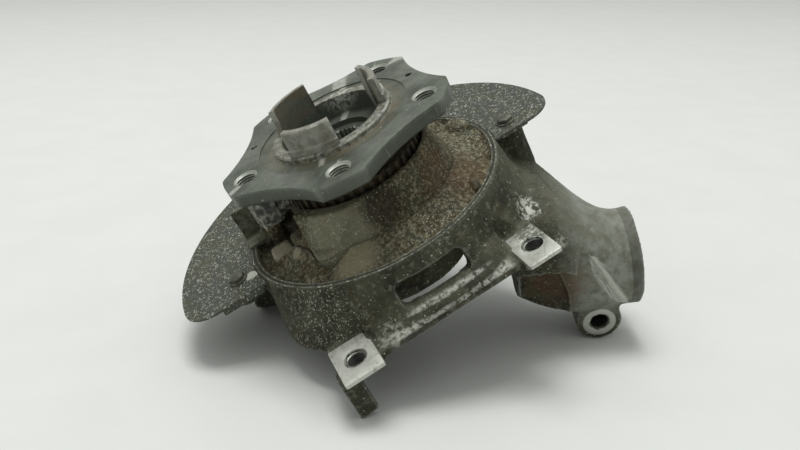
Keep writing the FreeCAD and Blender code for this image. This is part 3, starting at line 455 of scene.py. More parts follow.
class Shade:
    """Adds nodes to a material or a node group and joins them. Its place is in millimetres."""

    def __init__(self, tree, place=None):
        self.tree = tree
        self.place = place

    def add(self, kind, **settings):
        node = self.tree.nodes.new("ShaderNode" + kind)
        for name, value in settings.items():
            setattr(node, name, value)
        return node

    def feed(self, socket, value):
        if isinstance(value, bpy.types.NodeSocket):
            self.tree.links.new(value, socket)
        elif value is not None:
            socket.default_value = value

    def math(self, operation, a, b=None, clamp=False):
        node = self.add("Math", operation=operation, use_clamp=clamp)
        self.feed(node.inputs[0], a)
        self.feed(node.inputs[1], b)
        return node.outputs[0]

    def times(self, product, *others):
        """Product of masks and numbers."""
        for other in others:
            product = self.math("MULTIPLY", product, other)
        return product

    def most(self, highest, *others):
        """Highest of several masks."""
        for other in others:
            highest = self.math("MAXIMUM", highest, other)
        return highest

    def plus(self, a, b):
        return self.math("ADD", a, b)

    def minus(self, a, b):
        return self.math("SUBTRACT", a, b)

    def over(self, a, b):
        return self.math("DIVIDE", a, b)

    def vector(self, operation, a, b=None, scale=None):
        node = self.add("VectorMath", operation=operation)
        self.feed(node.inputs[0], a)
        self.feed(node.inputs[1], b)
        if scale is not None:
            node.inputs["Scale"].default_value = scale
        is_number = operation in ("LENGTH", "DISTANCE", "DOT_PRODUCT")
        return node.outputs["Value"] if is_number else node.outputs[0]

    def combine(self, *parts):
        node = self.add("CombineXYZ")
        for socket, part in zip(node.inputs, parts):
            self.feed(socket, part)
        return node.outputs[0]

    def split(self, place):
        node = self.add("SeparateXYZ")
        self.feed(node.inputs[0], place)
        return node.outputs[0], node.outputs[1], node.outputs[2]

    def radius(self, x, y):
        return self.math("SQRT", self.plus(self.times(x, x), self.times(y, y)))

    def mix(self, share, a, b):
        """The first colour where the share is 0, and the second where it is 1."""
        node = self.add("Mix", data_type="RGBA", clamp_factor=True)
        self.feed(node.inputs[0], share)
        for socket, colour in ((node.inputs[6], a), (node.inputs[7], b)):
            self.feed(socket, colour if isinstance(colour, bpy.types.NodeSocket) else (*colour, 1.0))
        return node.outputs[2]

    def lay(self, under, colour, *masks):
        """Lays a colour over another, as far as the product of the masks says."""
        return self.mix(self.times(*masks), under, colour)

    def layers(self, colour, *coats):
        """Lays coats over a colour in turn, each given as its own colour and its masks."""
        for coat in coats:
            colour = self.lay(colour, *coat)
        return colour

    def step(self, value, start, end):
        """Smooth mask that is 0 at start and 1 at end."""
        node = self.add("MapRange", interpolation_type="SMOOTHSTEP", clamp=True)
        self.feed(node.inputs[0], value)
        self.feed(node.inputs[1], start)
        self.feed(node.inputs[2], end)
        return node.outputs[0]

    def where(self, *steps):
        """Product of smooth steps, each given as its value, its start and its end."""
        return self.times(*[self.step(*step) for step in steps])

    def range(self, value, low, high):
        """Value from 0 to 1 spread from low to high."""
        node = self.add("MapRange", clamp=True)
        self.feed(node.inputs[0], value)
        self.feed(node.inputs[3], low)
        self.feed(node.inputs[4], high)
        return node.outputs[0]

    def noise(self, size, detail=5.0, rough=0.55, twist=0.0, at=None):
        """Noise from 0 to 1 with blots of one size, in millimetres or as a group's input."""
        node = self.add("TexNoise")
        self.feed(node.inputs["Vector"], at or self.place)
        scale = self.over(1.0, size) if isinstance(size, bpy.types.NodeSocket) else 1.0 / size
        self.feed(node.inputs["Scale"], scale)
        node.inputs["Detail"].default_value = detail
        node.inputs["Roughness"].default_value = rough
        node.inputs["Distortion"].default_value = twist
        return node.outputs[0]

    def wobble(self, size, height, detail=5.0):
        """Noise about zero, whose height is given from its lowest to its highest."""
        return self.times(self.minus(self.noise(size, detail), 0.5), height)

    def use(self, name, **inputs):
        """Places a shared node group and feeds its named inputs."""
        node = self.add("Group")
        node.node_tree = bpy.data.node_groups[name]
        self.feed(node.inputs["Place"], self.place)
        for socket, value in inputs.items():
            self.feed(node.inputs[socket], value)
        return node.outputs[0]

    def flecks(self, spacing, size, fill):
        return self.use("Flecks", Spacing=spacing, Size=size, Fill=fill)

    def blot(self, centre, reach, edge, ragged):
        return self.use("Blot", Centre=centre, Reach=reach, Edge=edge, Ragged=ragged)

    def cloud(self, size, low, high):
        return self.use("Cloud", Size=size, Low=low, High=high)

    def grain(self, size, pits):
        return self.use("Grain", Size=size, Pits=pits)

    def finish(self, colour, metal, rough, height, depth, specular=0.5):
        """Feeds the shader its colour, metal, roughness and bump. The bump's depth is in metres."""
        surface = self.tree.nodes["Principled BSDF"].inputs
        self.feed(surface["Base Color"], colour)
        self.feed(surface["Metallic"], metal)
        self.feed(surface["Roughness"], rough)
        surface["Specular IOR Level"].default_value = specular
        bump = self.add("Bump")
        bump.inputs["Strength"].default_value = 1.0
        bump.inputs["Distance"].default_value = depth
        self.feed(bump.inputs["Height"], height)
        self.feed(surface["Normal"], bump.outputs[0])


def shared_group(name, output_name, **inputs):
    """An empty node group with a place, other named inputs, and one output that is a number."""
    tree = bpy.data.node_groups.new(name, "ShaderNodeTree")
    for label, default in {"Place": (0.0, 0.0, 0.0), **inputs}.items():
        kind = "NodeSocketVector" if isinstance(default, tuple) else "NodeSocketFloat"
        tree.interface.new_socket(label, in_out="INPUT", socket_type=kind).default_value = default
    tree.interface.new_socket(output_name, in_out="OUTPUT", socket_type="NodeSocketFloat")
    given = tree.nodes.new("NodeGroupInput").outputs
    result = tree.nodes.new("NodeGroupOutput").inputs[0]
    return Shade(tree, given["Place"]), given, result


def build_flecks():
    """Scattered pale flecks of uneven size."""
    shade, given, result = shared_group("Flecks", "Mask", Spacing=2.0, Size=0.3, Fill=0.5)
    ragged = shade.add("TexNoise")
    shade.feed(ragged.inputs["Vector"], shade.place)
    ragged.inputs["Scale"].default_value = 1.3
    ragged.inputs["Detail"].default_value = 2.0
    shift = shade.vector("SCALE", ragged.outputs["Color"], scale=1.6)
    cell = shade.add("TexVoronoi", feature="F1")
    shade.feed(cell.inputs["Vector"], shade.vector("ADD", shade.place, shift))
    shade.feed(cell.inputs["Scale"], shade.over(1.0, given["Spacing"]))
    parts = shade.add("SeparateColor")
    shade.feed(parts.inputs[0], cell.outputs["Color"])
    uneven = shade.range(shade.noise(0.9, 2.0), 0.35, 1.65)
    reach = shade.times(given["Size"], shade.plus(parts.outputs[0], 0.25), uneven)
    spot = shade.step(cell.outputs["Distance"], reach, shade.times(reach, 0.55))
    chosen = shade.math("LESS_THAN", parts.outputs[1], given["Fill"])
    shade.feed(result, shade.times(spot, chosen))


def build_blot():
    """Ragged patch round a centre."""
    shade, given, result = shared_group(
        "Blot", "Mask", Centre=(0.0, 0.0, 0.0), Reach=10.0, Edge=4.0, Ragged=4.0)
    away = shade.vector("DISTANCE", shade.place, given["Centre"])
    torn = shade.times(shade.wobble(3.0, given["Ragged"], 4.0), 2.0)
    full = shade.minus(given["Reach"], given["Edge"])
    shade.feed(result, shade.step(shade.plus(away, torn), given["Reach"], full))


def build_cloud():
    """Soft cloudy mask between two levels of a noise."""
    shade, given, result = shared_group("Cloud", "Mask", Size=20.0, Low=0.4, High=0.6)
    shade.feed(result, shade.step(shade.noise(given["Size"], 6.0, 0.6, 0.3), given["Low"], given["High"]))


def build_grain():
    """Height of a sand-cast or dirty surface, from waves down to pits."""
    shade, given, result = shared_group("Grain", "Height", Size=2.0, Pits=0.5)
    pits = shade.add("TexVoronoi", feature="SMOOTH_F1")
    shade.feed(pits.inputs["Vector"], shade.place)
    shade.feed(pits.inputs["Scale"], shade.over(1.7, given["Size"]))
    pit = shade.times(shade.step(pits.outputs["Distance"], 0.35, 0.0), given["Pits"])
    shade.feed(result, shade.minus(shade.noise(given["Size"], 8.0, 0.62), pit))


def build_wear():
    """Rubbed edges, broken up by a noise."""
    shade, given, result = shared_group("Edge wear", "Mask", Low=0.51, High=0.56)
    edge = shade.step(shade.add("NewGeometry").outputs["Pointiness"], given["Low"], given["High"])
    broken = shade.range(shade.noise(2.5, 4.0), 0.2, 1.3)
    shade.feed(result, shade.math("MULTIPLY", edge, broken, clamp=True))


def build_scratches():
    """Fine straight scratches that run one way."""
    shade, given, result = shared_group("Scratches", "Mask", Turn=0.0, Width=0.25, Amount=0.5)
    turn = shade.add("VectorRotate", rotation_type="Z_AXIS")
    shade.feed(turn.inputs["Vector"], shade.place)
    shade.feed(turn.inputs["Angle"], given["Turn"])
    x, y, z = shade.split(turn.outputs[0])
    drawn_out = shade.combine(shade.times(x, 0.04), shade.over(y, given["Width"]), shade.times(z, 0.04))
    lines = shade.noise(1.0, 3.0, 0.7, at=drawn_out)
    start = shade.minus(0.72, shade.times(given["Amount"], 0.2))
    shade.feed(result, shade.step(lines, start, shade.plus(start, 0.06)))


def build_turning():
    """Height of the fine rings that a lathe leaves about the spin axis."""
    shade, given, result = shared_group("Turning", "Height", Pitch=0.4)
    x, y, z = shade.split(shade.place)
    rings = shade.combine(shade.over(shade.radius(x, y), given["Pitch"]), shade.times(z, 0.3))
    shade.feed(result, shade.noise(1.0, 2.0, 0.5, at=rings))


GROUP_BUILDERS = (
    build_flecks, build_blot, build_cloud, build_grain, build_wear, build_scratches, build_turning)


def new_material(name):
    """A material and its shading tools. The shared groups are made with the first one."""
    if "Flecks" not in bpy.data.node_groups:
        for build in GROUP_BUILDERS:
            build()
    material = bpy.data.materials.new(name)
    material.use_nodes = True
    shade = Shade(material.node_tree)
    shade.place = shade.vector("SCALE", shade.add("TexCoord").outputs["Object"], scale=1 / MM)
    return material, shade


# Finish of the casting


def strut_places(shade):
    """Distances across and along the strut clamp, from the centre of its end."""
    moved = shade.vector("SUBTRACT", shade.place, STRUT_END)
    return shade.vector("DOT_PRODUCT", moved, PINCH_AXIS), shade.vector("DOT_PRODUCT", moved, STRUT_AXIS)


def pinch_face_centre():
    """Centre of the spot face where the pinch bolt goes in, in millimetres."""
    down = Vector(STRUT_AXIS).cross(Vector(PINCH_AXIS))
    centre = Vector(STRUT_END) + down * PINCH_OFFSET - Vector(STRUT_AXIS) * PINCH_BACK
    return tuple(centre + Vector(PINCH_AXIS) * PINCH_FACE_OUT)


def clamp_colour(shade, colour, clean, along):
    """Cleaner grey towards the clamp's end, a dark band at its mouth and brown in the neck's corner."""
    colours = finish_colours()
    grey = shade.mix(shade.cloud(7.0, 0.35, 0.65), colours.cast_clean, colours.cast_light)
    return shade.layers(
        colour,
        (grey, clean, 0.85),
        (colours.cast_dark, shade.step(along, -7.2, -6.4), 0.55),
        (colours.dish_rust, shade.blot((61.0, 66.0, -128.0), 24.0, 14.0, 8.0), 0.55))


def upward_dust_and_light(shade):
    """Mask of dust and painted light from overhead on what faces up as the part lies."""
    facing = shade.vector("DOT_PRODUCT", shade.add("TexCoord").outputs["Normal"], FLOOR_UP)
    return shade.times(shade.step(facing, 0.35, 0.95), shade.cloud(9.0, 0.3, 0.6))


def dish_soil(shade):
    """Brown dirt in the dish, with red, dusty, cream and oily places."""
    colours = finish_colours()
    cream = shade.most(
        shade.blot((2.0, -61.5, -50.0), 9.0, 3.0, 3.0), shade.blot((19.5, -54.0, -46.5), 4.5, 2.0, 2.0))
    return shade.layers(
        colours.dish_brown,
        (colours.cast_mid, shade.cloud(11.0, 0.4, 0.62)),
        (colours.dish_dust, shade.cloud(2.2, 0.42, 0.7)),
        (colours.dish_rust, shade.blot((36.0, 44.0, -46.0), 24.0, 14.0, 8.0), 0.35),
        (colours.dish_dust, shade.blot((54.0, -29.0, -50.0), 17.0, 9.0, 5.0), 0.75),
        (colours.mud_pale, cream, 0.85),
        (colours.mud_dark, shade.blot((-24.0, -52.0, -55.0), 19.0, 8.0, 5.0), 0.8))


def casting_flecks(shade, clean):
    """Pale flecks, thick in places and missing from the clean end of the clamp."""
    crowd = shade.most(
        shade.blot((62.0, -62.0, -70.0), 34.0, 22.0, 8.0), shade.blot((58.0, 14.0, -49.0), 26.0, 14.0, 8.0),
        shade.blot((-10.0, 66.0, -50.0), 40.0, 20.0, 8.0))
    flecks = shade.most(shade.flecks(1.7, 0.3, 0.22), shade.times(shade.flecks(1.0, 0.5, 0.5), crowd))
    return shade.times(flecks, shade.minus(1.0, clean))


def bare_places(shade, x, y, z, across):
    """Mask of bare metal: lip below the window, three scrapes, lens and pinch bolt's spot face."""
    upper_edge = shade.where((z, -74.6, -73.6), (z, -72.0, -72.8))
    lower_edge = shade.where((z, -80.0, -78.8), (z, -76.6, -77.8))
    lip = shade.times(
        shade.where((x, 86.0, 89.0), (shade.math("ABSOLUTE", y), 40.0, 34.0)),
        shade.most(upper_edge, lower_edge), shade.cloud(2.6, 0.36, 0.56), 0.7)
    holes = shade.cloud(2.6, 0.4, 0.52)
    patch = shade.times(shade.blot((90.0, -35.0, -76.0), 9.0, 5.0, 7.0), holes, 0.5)
    tongue = shade.times(shade.blot((59.0, 66.0, -77.0), 8.0, 3.0, 7.0), holes, 0.85)
    tail = shade.times(shade.blot((78.0, 70.0, -97.0), 7.0, 3.0, 5.0), holes, 0.6)
    lens, streaks = scraped_lens(shade, across)
    from_middle = shade.vector("DISTANCE", shade.place, pinch_face_centre())
    spot_face = shade.where((across, 22.0, 22.5), (from_middle, 10.2, 9.6))
    return shade.most(lip, patch, tongue, tail, shade.times(lens, 0.3), streaks, spot_face)


def scraped_lens(shade, across):
    """Masks of the lens-shaped scrape beside the pinch boss, and of the bright streaks along it."""
    moved = shade.vector("SUBTRACT", shade.place, LENS_CENTRE)
    far = shade.over(shade.vector("DOT_PRODUCT", moved, LENS_LENGTHWISE), LENS_HALF_LENGTH)
    side = shade.vector("DOT_PRODUCT", moved, LENS_SIDEWAYS)
    half = shade.times(shade.minus(1.0, shade.times(far, far)), LENS_HALF_WIDTH)
    left = shade.plus(shade.minus(half, shade.math("ABSOLUTE", side)), shade.wobble(3.0, 3.0))
    inside = shade.where((left, 0.0, 1.0), (across, 17.0, 20.0))
    drawn_out = shade.combine(shade.times(far, 2.0), side)
    streaks = shade.step(shade.noise(1.1, 4.0, 0.7, at=drawn_out), 0.44, 0.62)
    ridge = shade.step(shade.math("ABSOLUTE", shade.minus(side, 1.2)), 2.2, 0.4)
    return inside, shade.times(inside, shade.most(streaks, ridge))


def bore_shadow(shade, x, y, z):
    """Mask of painted shade inside the caliper holes and the pinch bolt's hole."""
    from_holes = [shade.radius(shade.minus(x, CALIPER_X), shade.minus(y, hole_y)) for hole_y in CALIPER_Y]
    nearest = shade.math("MINIMUM", *from_holes)
    inside = shade.where((nearest, 7.4, 6.8), (z, PAD_Z - 2.5, PAD_Z - 4.0))
    moved = shade.vector("SUBTRACT", shade.place, pinch_face_centre())
    along = shade.vector("DOT_PRODUCT", moved, PINCH_AXIS)
    out_squared = shade.minus(
        shade.math("POWER", shade.vector("LENGTH", moved), 2.0), shade.times(along, along))
    pinch = shade.where((out_squared, 42.0, 34.0), (along, -1.0, -2.5))
    return shade.most(inside, pinch)


def casting_finish():
    """Dirty aluminium casting: brown in the dish, cleaner on the strut clamp, scraped where it was hit."""
    colours = finish_colours()
    material, shade = new_material("dirty cast aluminium")
    x, y, z = shade.split(shade.place)
    radius = shade.radius(x, y)
    across, along = strut_places(shade)
    clean = shade.where((shade.plus(along, shade.wobble(14.0, 26.0)), -52.0, -28.0), (z, -180.0, -150.0))
    dish = shade.where((radius, 75.2, 74.0), (z, -62.0, -59.0))
    flecks = casting_flecks(shade, clean)
    bare = bare_places(shade, x, y, z, across)
    wear = shade.times(shade.use("Edge wear", Low=0.515, High=0.57), 0.45)
    # Painted shade between the two rim beads
    groove_shade = shade.times(shade.where((radius, 75.2, 75.9), (radius, 78.0, 77.4), (z, -53.0, -51.5)), 0.6)
    smooth = shade.most(bare, clean)

    colour = shade.layers(
        colours.cast_dark,
        (colours.cast_mid, shade.cloud(16.0, 0.36, 0.62)),
        (colours.cast_light, shade.cloud(3.2, 0.5, 0.74)),
        (colours.dish_brown, shade.cloud(9.0, 0.52, 0.68), 0.5))
    colour = clamp_colour(shade, colour, clean, along)
    colour = shade.layers(
        colour,
        # Lighter on what faces up: dust, and painted light from overhead
        (colours.cast_light, upward_dust_and_light(shade), 0.5),
        (dish_soil(shade), dish),
        (colours.cast_fleck, flecks, 0.8),
        (colours.bare_metal, shade.most(bare, wear), 0.85),
        # Painted shade deep in the holes and between the rim beads
        (colours.painted_shade_dark, shade.most(bore_shadow(shade, x, y, z), groove_shade)))

    grain = shade.times(shade.grain(2.4, 0.55), shade.range(smooth, 1.0, 0.35))
    grain = shade.plus(grain, shade.times(flecks, 0.35))
    shade.finish(
        colour, shade.range(bare, 0.05, 0.5), shade.range(smooth, 0.78, 0.5), grain, 0.0007, specular=0.3)
    return material


# Finishes of the other pieces


def wheel_hole_distance(shade, x, y):
    """Distance from the middle of the nearest wheel bolt hole, in millimetres."""
    between = 2 * math.pi / WHEEL_HOLES
    angle = shade.minus(shade.math("ARCTAN2", y, x), math.radians(WHEEL_FIRST_ANGLE))
    turns = shade.over(angle, between)
    left = shade.times(shade.minus(turns, shade.math("ROUND", turns)), between)
    radius = shade.radius(x, y)
    along = shade.minus(shade.times(radius, shade.math("COSINE", left)), WHEEL_PCD / 2)
    across = shade.times(radius, shade.math("SINE", left))
    return shade.radius(along, across)


def hub_finish():
    """Turned steel with a thin film of rust and grime, brighter on its edges."""
    colours = finish_colours()
    material, shade = new_material("turned hub steel")
    x, y, z = shade.split(shade.place)
    radius = shade.radius(x, y)

    # Rust at the foot of the spigot, grime below the flange, and darker inside the cup
    foot = shade.times(shade.where((radius, 48.0, 36.5), (z, -1.5, -0.5)), shade.cloud(7.0, 0.3, 0.62))
    edge_band = shade.where((z, -0.9, -1.8), (radius, 50.0, 54.0))
    below = shade.where((z, -8.2, -9.5), (radius, 29.0, 31.0))
    cup = shade.where((radius, 30.2, 29.8), (z, 16.0, 4.0))
    colour = shade.layers(
        colours.hub_grey,
        (colours.hub_dark, shade.cloud(14.0, 0.38, 0.66)),
        (colours.hub_rust, shade.cloud(2.2, 0.5, 0.8), 0.35),
        (colours.hub_rust, foot, 0.6),
        (colours.hub_dark, edge_band, 0.75),
        (colours.dish_brown, below, 0.8),
        (colours.hub_dark, cup, 0.55))

    # Rubbed places inside the spigot and round its foot
    foot_band = shade.times(shade.where((radius, 37.0, 36.0), (z, 3.4, 2.4), (radius, 29.8, 30.6)), 0.45)
    rubbed = shade.most(shade.blot((-24.0, 14.0, 4.0), 15.0, 9.0, 7.0), foot_band)
    rubbed = shade.times(rubbed, shade.cloud(3.0, 0.4, 0.6))

    # Brighter spigot and edges, and the countersinks of the bolt holes
    streaks = shade.range(shade.cloud(5.0, 0.35, 0.7), 0.5, 0.15)
    spigot = shade.times(shade.where((z, 2.0, 3.5), (radius, 29.7, 31.0)), streaks)
    hole = wheel_hole_distance(shade, x, y)
    sink = shade.times(shade.where((hole, 7.3, 7.0), (z, -1.3, -0.9)), 0.7)
    bright = shade.most(spigot, shade.use("Edge wear", Low=0.52, High=0.6), sink, rubbed)
    scratches = shade.use("Scratches", Turn=0.7, Width=0.5, Amount=0.35)
    colour = shade.layers(
        colour,
        # Painted shade inside the wheel bolt holes
        (colours.hub_dark, shade.step(hole, 6.6, 6.3), 0.5),
        (colours.bare_metal, bright, 0.8),
        (colours.bare_metal, scratches, 0.3),
        (colours.cast_fleck, shade.flecks(3.4, 0.16, 0.3), 0.5))

    metal = shade.range(shade.most(foot, below), 0.4, 0.1)
    rough = shade.range(shade.cloud(6.0, 0.3, 0.7), 0.4, 0.58)
    height = shade.plus(shade.use("Turning", Pitch=0.35), shade.times(shade.noise(1.1), 0.8))
    shade.finish(colour, metal, rough, height, 0.00006)
    return material


def bearing_finish():
    """Bearing ring under dried mud: pale on the lug wall, brown in the corners."""
    colours = finish_colours()
    material, shade = new_material("mud on bearing steel")
    wall = shade.blot((44.0, -30.0, -37.0), 26.0, 14.0, 5.0)
    colour = shade.layers(
        colours.cast_mid,
        (colours.dish_brown, shade.cloud(9.0, 0.38, 0.62)),
        (colours.dish_dust, shade.cloud(1.8, 0.42, 0.72)),
        (colours.lug_grey, wall, 0.7),
        (colours.mud_dark, shade.blot((49.0, -3.0, -34.0), 15.0, 8.0, 5.0), 0.75),
        (colours.dish_rust, shade.blot((38.0, 34.0, -40.0), 18.0, 10.0, 5.0), 0.4),
        (colours.cast_fleck, shade.flecks(1.1, 0.42, 0.35), 0.55))
    grain = shade.times(shade.grain(1.8, 0.5), shade.range(wall, 1.0, 0.35))
    shade.finish(colour, 0.0, shade.range(wall, 0.85, 0.6), grain, 0.0006, specular=0.3)
    return material


def milled_finish():
    """Milled aluminium of the caliper pads, scratched and stained."""
    colours = finish_colours()
    material, shade = new_material("milled aluminium")
    stains = shade.cloud(6.0, 0.46, 0.7)
    dirty = shade.times(shade.blot((76.0, 60.0, -78.0), 19.0, 11.0, 8.0), shade.cloud(2.6, 0.36, 0.56))
    marks = shade.most(
        shade.use("Scratches", Turn=0.5, Width=0.45, Amount=0.5),
        shade.use("Scratches", Turn=-1.1, Width=0.6, Amount=0.4))
    colour = shade.layers(
        colours.bare_metal,
        (colours.cast_light, stains, 0.5),
        (colours.cast_mid, dirty, 0.8),
        (colours.cast_light, marks, 0.5),
        (colours.cast_dark, shade.flecks(2.0, 0.2, 0.4), 0.8))
    height = shade.plus(shade.noise(0.7, 4.0), shade.times(marks, -0.8))
    shade.finish(colour, 0.35, shade.range(stains, 0.42, 0.62), height, 0.00008)
    return material


def shield_finish():
    """Dull zinc sheet, speckled with dried splashes and chipped at one corner."""
    colours = finish_colours()
    material, shade = new_material("speckled shield sheet")
    many = shade.times(shade.flecks(1.2, 0.55, 0.62), shade.cloud(14.0, 0.3, 0.5), 0.8)
    flecks = shade.most(shade.flecks(2.4, 0.3, 0.4), many)
    chip = shade.blot((5.0, -82.5, -52.0), 4.2, 1.0, 3.0)
    colour = shade.layers(
        colours.shield_grey,
        (colours.cast_mid, shade.cloud(12.0, 0.4, 0.65)),
        (colours.cast_fleck, flecks, 0.8),
        (colours.bare_metal, chip))
    height = shade.plus(shade.grain(2.2, 0.3), shade.times(flecks, 0.5))
    shade.finish(colour, shade.range(chip, 0.35, 0.8), shade.range(flecks, 0.55, 0.8), height, 0.0003)
    return material


def plain_metal_finish(name, base, worn, stain, metallic, rough):
    """Metal of a small piece: clouded, stained and a little brighter where it is rubbed."""
    material, shade = new_material(name)
    stains = shade.cloud(3.0, 0.5, 0.7)
    colour = shade.layers(
        base,
        (worn, shade.cloud(5.0, 0.4, 0.65)),
        (stain, stains, 0.6),
        (worn, shade.flecks(1.6, 0.25, 0.35), 0.4))
    shade.finish(
        colour, shade.range(stains, metallic, metallic * 0.4),
        shade.range(stains, rough, min(rough + 0.25, 1.0)), shade.grain(1.4, 0.3), 0.00015)
    return material


def moulded_finish(name, base, dust, rough):
    """Plastic or rubber with dust lying on it."""
    material, shade = new_material(name)
    cover = shade.cloud(4.0, 0.42, 0.7)
    colour = shade.layers(base, (dust, cover, 0.7), (dust, shade.flecks(1.4, 0.35, 0.4), 0.6))
    shade.finish(colour, 0.0, shade.range(cover, rough, 0.9), shade.grain(1.0, 0.2), 0.00012)
    return material


def sleeve_finish():
    """Bright steel at the mouth of the caliper holes, and painted shade on the thread below it."""
    colours = finish_colours()
    material, shade = new_material("threaded sleeve steel")
    # Painted shade on the thread deeper in the hole
    deep = shade.step(shade.split(shade.place)[2], PAD_Z - 0.7, PAD_Z - 1.6)
    colour = shade.layers(
        colours.bare_metal,
        (colours.hub_grey, shade.cloud(3.0, 0.4, 0.7)),
        (colours.painted_shade_dark, deep, 0.88))
    shade.finish(
        colour, shade.range(deep, 0.8, 0.3), shade.range(deep, 0.25, 0.5), shade.grain(1.4, 0.2), 0.00008)
    return material


def bead_finish():
    """Rubbed edge of the casting, with dirt in its low places."""
    colours = finish_colours()
    material, shade = new_material("rubbed casting edge")
    colour = shade.layers(
        colours.cast_mid,
        (colours.cast_light, shade.cloud(7.0, 0.36, 0.6)),
        (colours.cast_fleck, shade.cloud(2.0, 0.5, 0.7)))
    shade.finish(colour, 0.0, shade.range(shade.noise(4.0), 0.55, 0.85), shade.grain(1.4, 0.5), 0.0004)
    return material


def paint_node(names, material):
    """Gives CAD nodes their finish. Their shapes stay."""
    for name in names:
        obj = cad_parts[name]
        if not obj.material_slots:
            obj.data.materials.append(material)
        for slot in obj.material_slots:
            slot.material = material


# Floor, lamps and room


def floor_finish(studio):
    """Pale faintly mottled floor that the camera sees through from below."""
    material, shade = new_material("pale floor")
    darker = tuple(value * 0.97 for value in studio.floor)
    surface = material.node_tree.nodes["Principled BSDF"]
    shade.feed(surface.inputs["Base Color"], shade.mix(shade.cloud(60.0, 0.3, 0.7), studio.floor, darker))
    surface.inputs["Roughness"].default_value = 0.9
    surface.inputs["Specular IOR Level"].default_value = 0.1
    from_below = shade.add("NewGeometry").outputs["Backfacing"]
    mixer = shade.add("MixShader")
    shade.feed(mixer.inputs[0], shade.times(from_below, shade.add("LightPath").outputs["Is Camera Ray"]))
    shade.feed(mixer.inputs[1], surface.outputs[0])
    shade.feed(mixer.inputs[2], shade.add("BsdfTransparent").outputs[0])
    shade.feed(material.node_tree.nodes["Material Output"].inputs["Surface"], mixer.outputs[0])
    return material


def add_lamp(name, at, target, power, size):
    lamp = bpy.data.lights.new(name, "AREA")
    lamp.energy = power
    lamp.size = size
    obj = bpy.data.objects.new(name, lamp)
    bpy.context.scene.collection.objects.link(obj)
    obj.location = at
    obj.rotation_euler = (target - at).to_track_quat("-Z", "Y").to_euler()


def light_room(studio, bright_side):
    """Soft room light, stronger on one side. The camera and shiny metal see it as the pale backdrop."""
    world = bpy.data.worlds.new("room")
    bpy.context.scene.world = world
    world.use_nodes = True
    shade = Shade(world.node_tree)
    background = world.node_tree.nodes["Background"]
    path = shade.add("LightPath").outputs
    seen = shade.most(path["Is Camera Ray"], path["Is Transmission Ray"], path["Is Glossy Ray"])
    height = shade.vector("DOT_PRODUCT", shade.add("TexCoord").outputs["Generated"], tuple(bright_side))
    overhead = shade.range(height, studio.room * ROOM_DIM_SHARE, studio.room)
    shade.feed(background.inputs["Color"], shade.mix(seen, (1.0, 1.0, 1.0), studio.floor))
    shade.feed(background.inputs["Strength"], shade.most(overhead, seen))


# Pieces


class HUB_OT_casting(bpy.types.Operator):
    """Shape the knuckle casting with the rounded corners and rough skin of sand-cast metal"""

    bl_idname = "hub_dressing.casting"
    bl_label = "Knuckle casting"

    def execute(self, context):
        pieces = [node_copy("knuckle", "knuckle_casting")]
        pieces += [lump(at, half, turn) for at, half, turn in DISH_MUD]
        for number, degrees in enumerate(SEAM_MUD_ANGLES):
            turn = math.radians(degrees)
            out = SEAM_MUD_R + 0.8 * math.sin(number * 2.1)
            at = (out * math.cos(turn), out * math.sin(turn), SEAM_MUD_Z + 0.7 * math.sin(number * 1.3))
            pieces.append(lump(at, SEAM_MUD_HALF, degrees))
        obj = join_pieces("knuckle_casting", pieces)
        cast_skin(obj, sizes().casting_skin)
        roughen(obj, CAST_WAVE_LENGTH, sizes().cast_wave)
        roughen(obj, CAST_PIT_LENGTH, sizes().cast_pits, 2)
        apply_modifier(obj, "thin", "DECIMATE", ratio=min(1.0, CASTING_FACES / (2 * len(obj.data.polygons))))
        tidy_normals(obj)
        smooth_shade(obj, 60)
        dress(obj, casting_finish(), CASTING_BODY, "knuckle")
        return {"FINISHED"}


class HUB_OT_rim(bpy.types.Operator):
    """Raise the two worn beads that run round the rim of the dish"""

    bl_idname = "hub_dressing.rim"
    bl_label = "Rim beads"

    def execute(self, context):
        beads = [turned_ring("bead", radius, RIM_Z - 0.25, BEAD_HALF, 8, 240) for radius in RIM_BEADS]
        obj = join_pieces("rim_beads", beads)
        roughen(obj, BEAD_WAVE_LENGTH, BEAD_WAVE)
        smooth_shade(obj, 60)
        dress(obj, bead_finish(), CASTING_BODY)
        return {"FINISHED"}


class HUB_OT_bearing(bpy.types.Operator):
    """Shape the outer ring of the bearing, its lugs and guard softened by dried mud"""

    bl_idname = "hub_dressing.bearing"
    bl_label = "Bearing outer ring"

    def execute(self, context):
        obj = node_copy("bearing_outer_ring", "bearing_ring")
        cast_skin(obj, sizes().bearing_skin)
        roughen(obj, RING_WAVE_LENGTH, sizes().cast_wave * RING_WAVE_SHARE)
        smooth_shade(obj, 60)
        dress(obj, bearing_finish(), CASTING_BODY, "bearing_outer_ring")
        return {"FINISHED"}


class HUB_OT_hub(bpy.types.Operator):
    """Shape the flange and spigot of the hub, with its sharp edges taken off"""

    bl_idname = "hub_dressing.hub"
    bl_label = "Hub flange and spigot"

    def execute(self, context):
        obj = node_copy("wheel_hub", "hub_flange")
        round_edges(obj, sizes().edge_round, 2, 35, use_clamp_overlap=True)
        smooth_shade(obj, 32)
        dress(obj, hub_finish(), HUB_BODY, "wheel_hub")
        return {"FINISHED"}


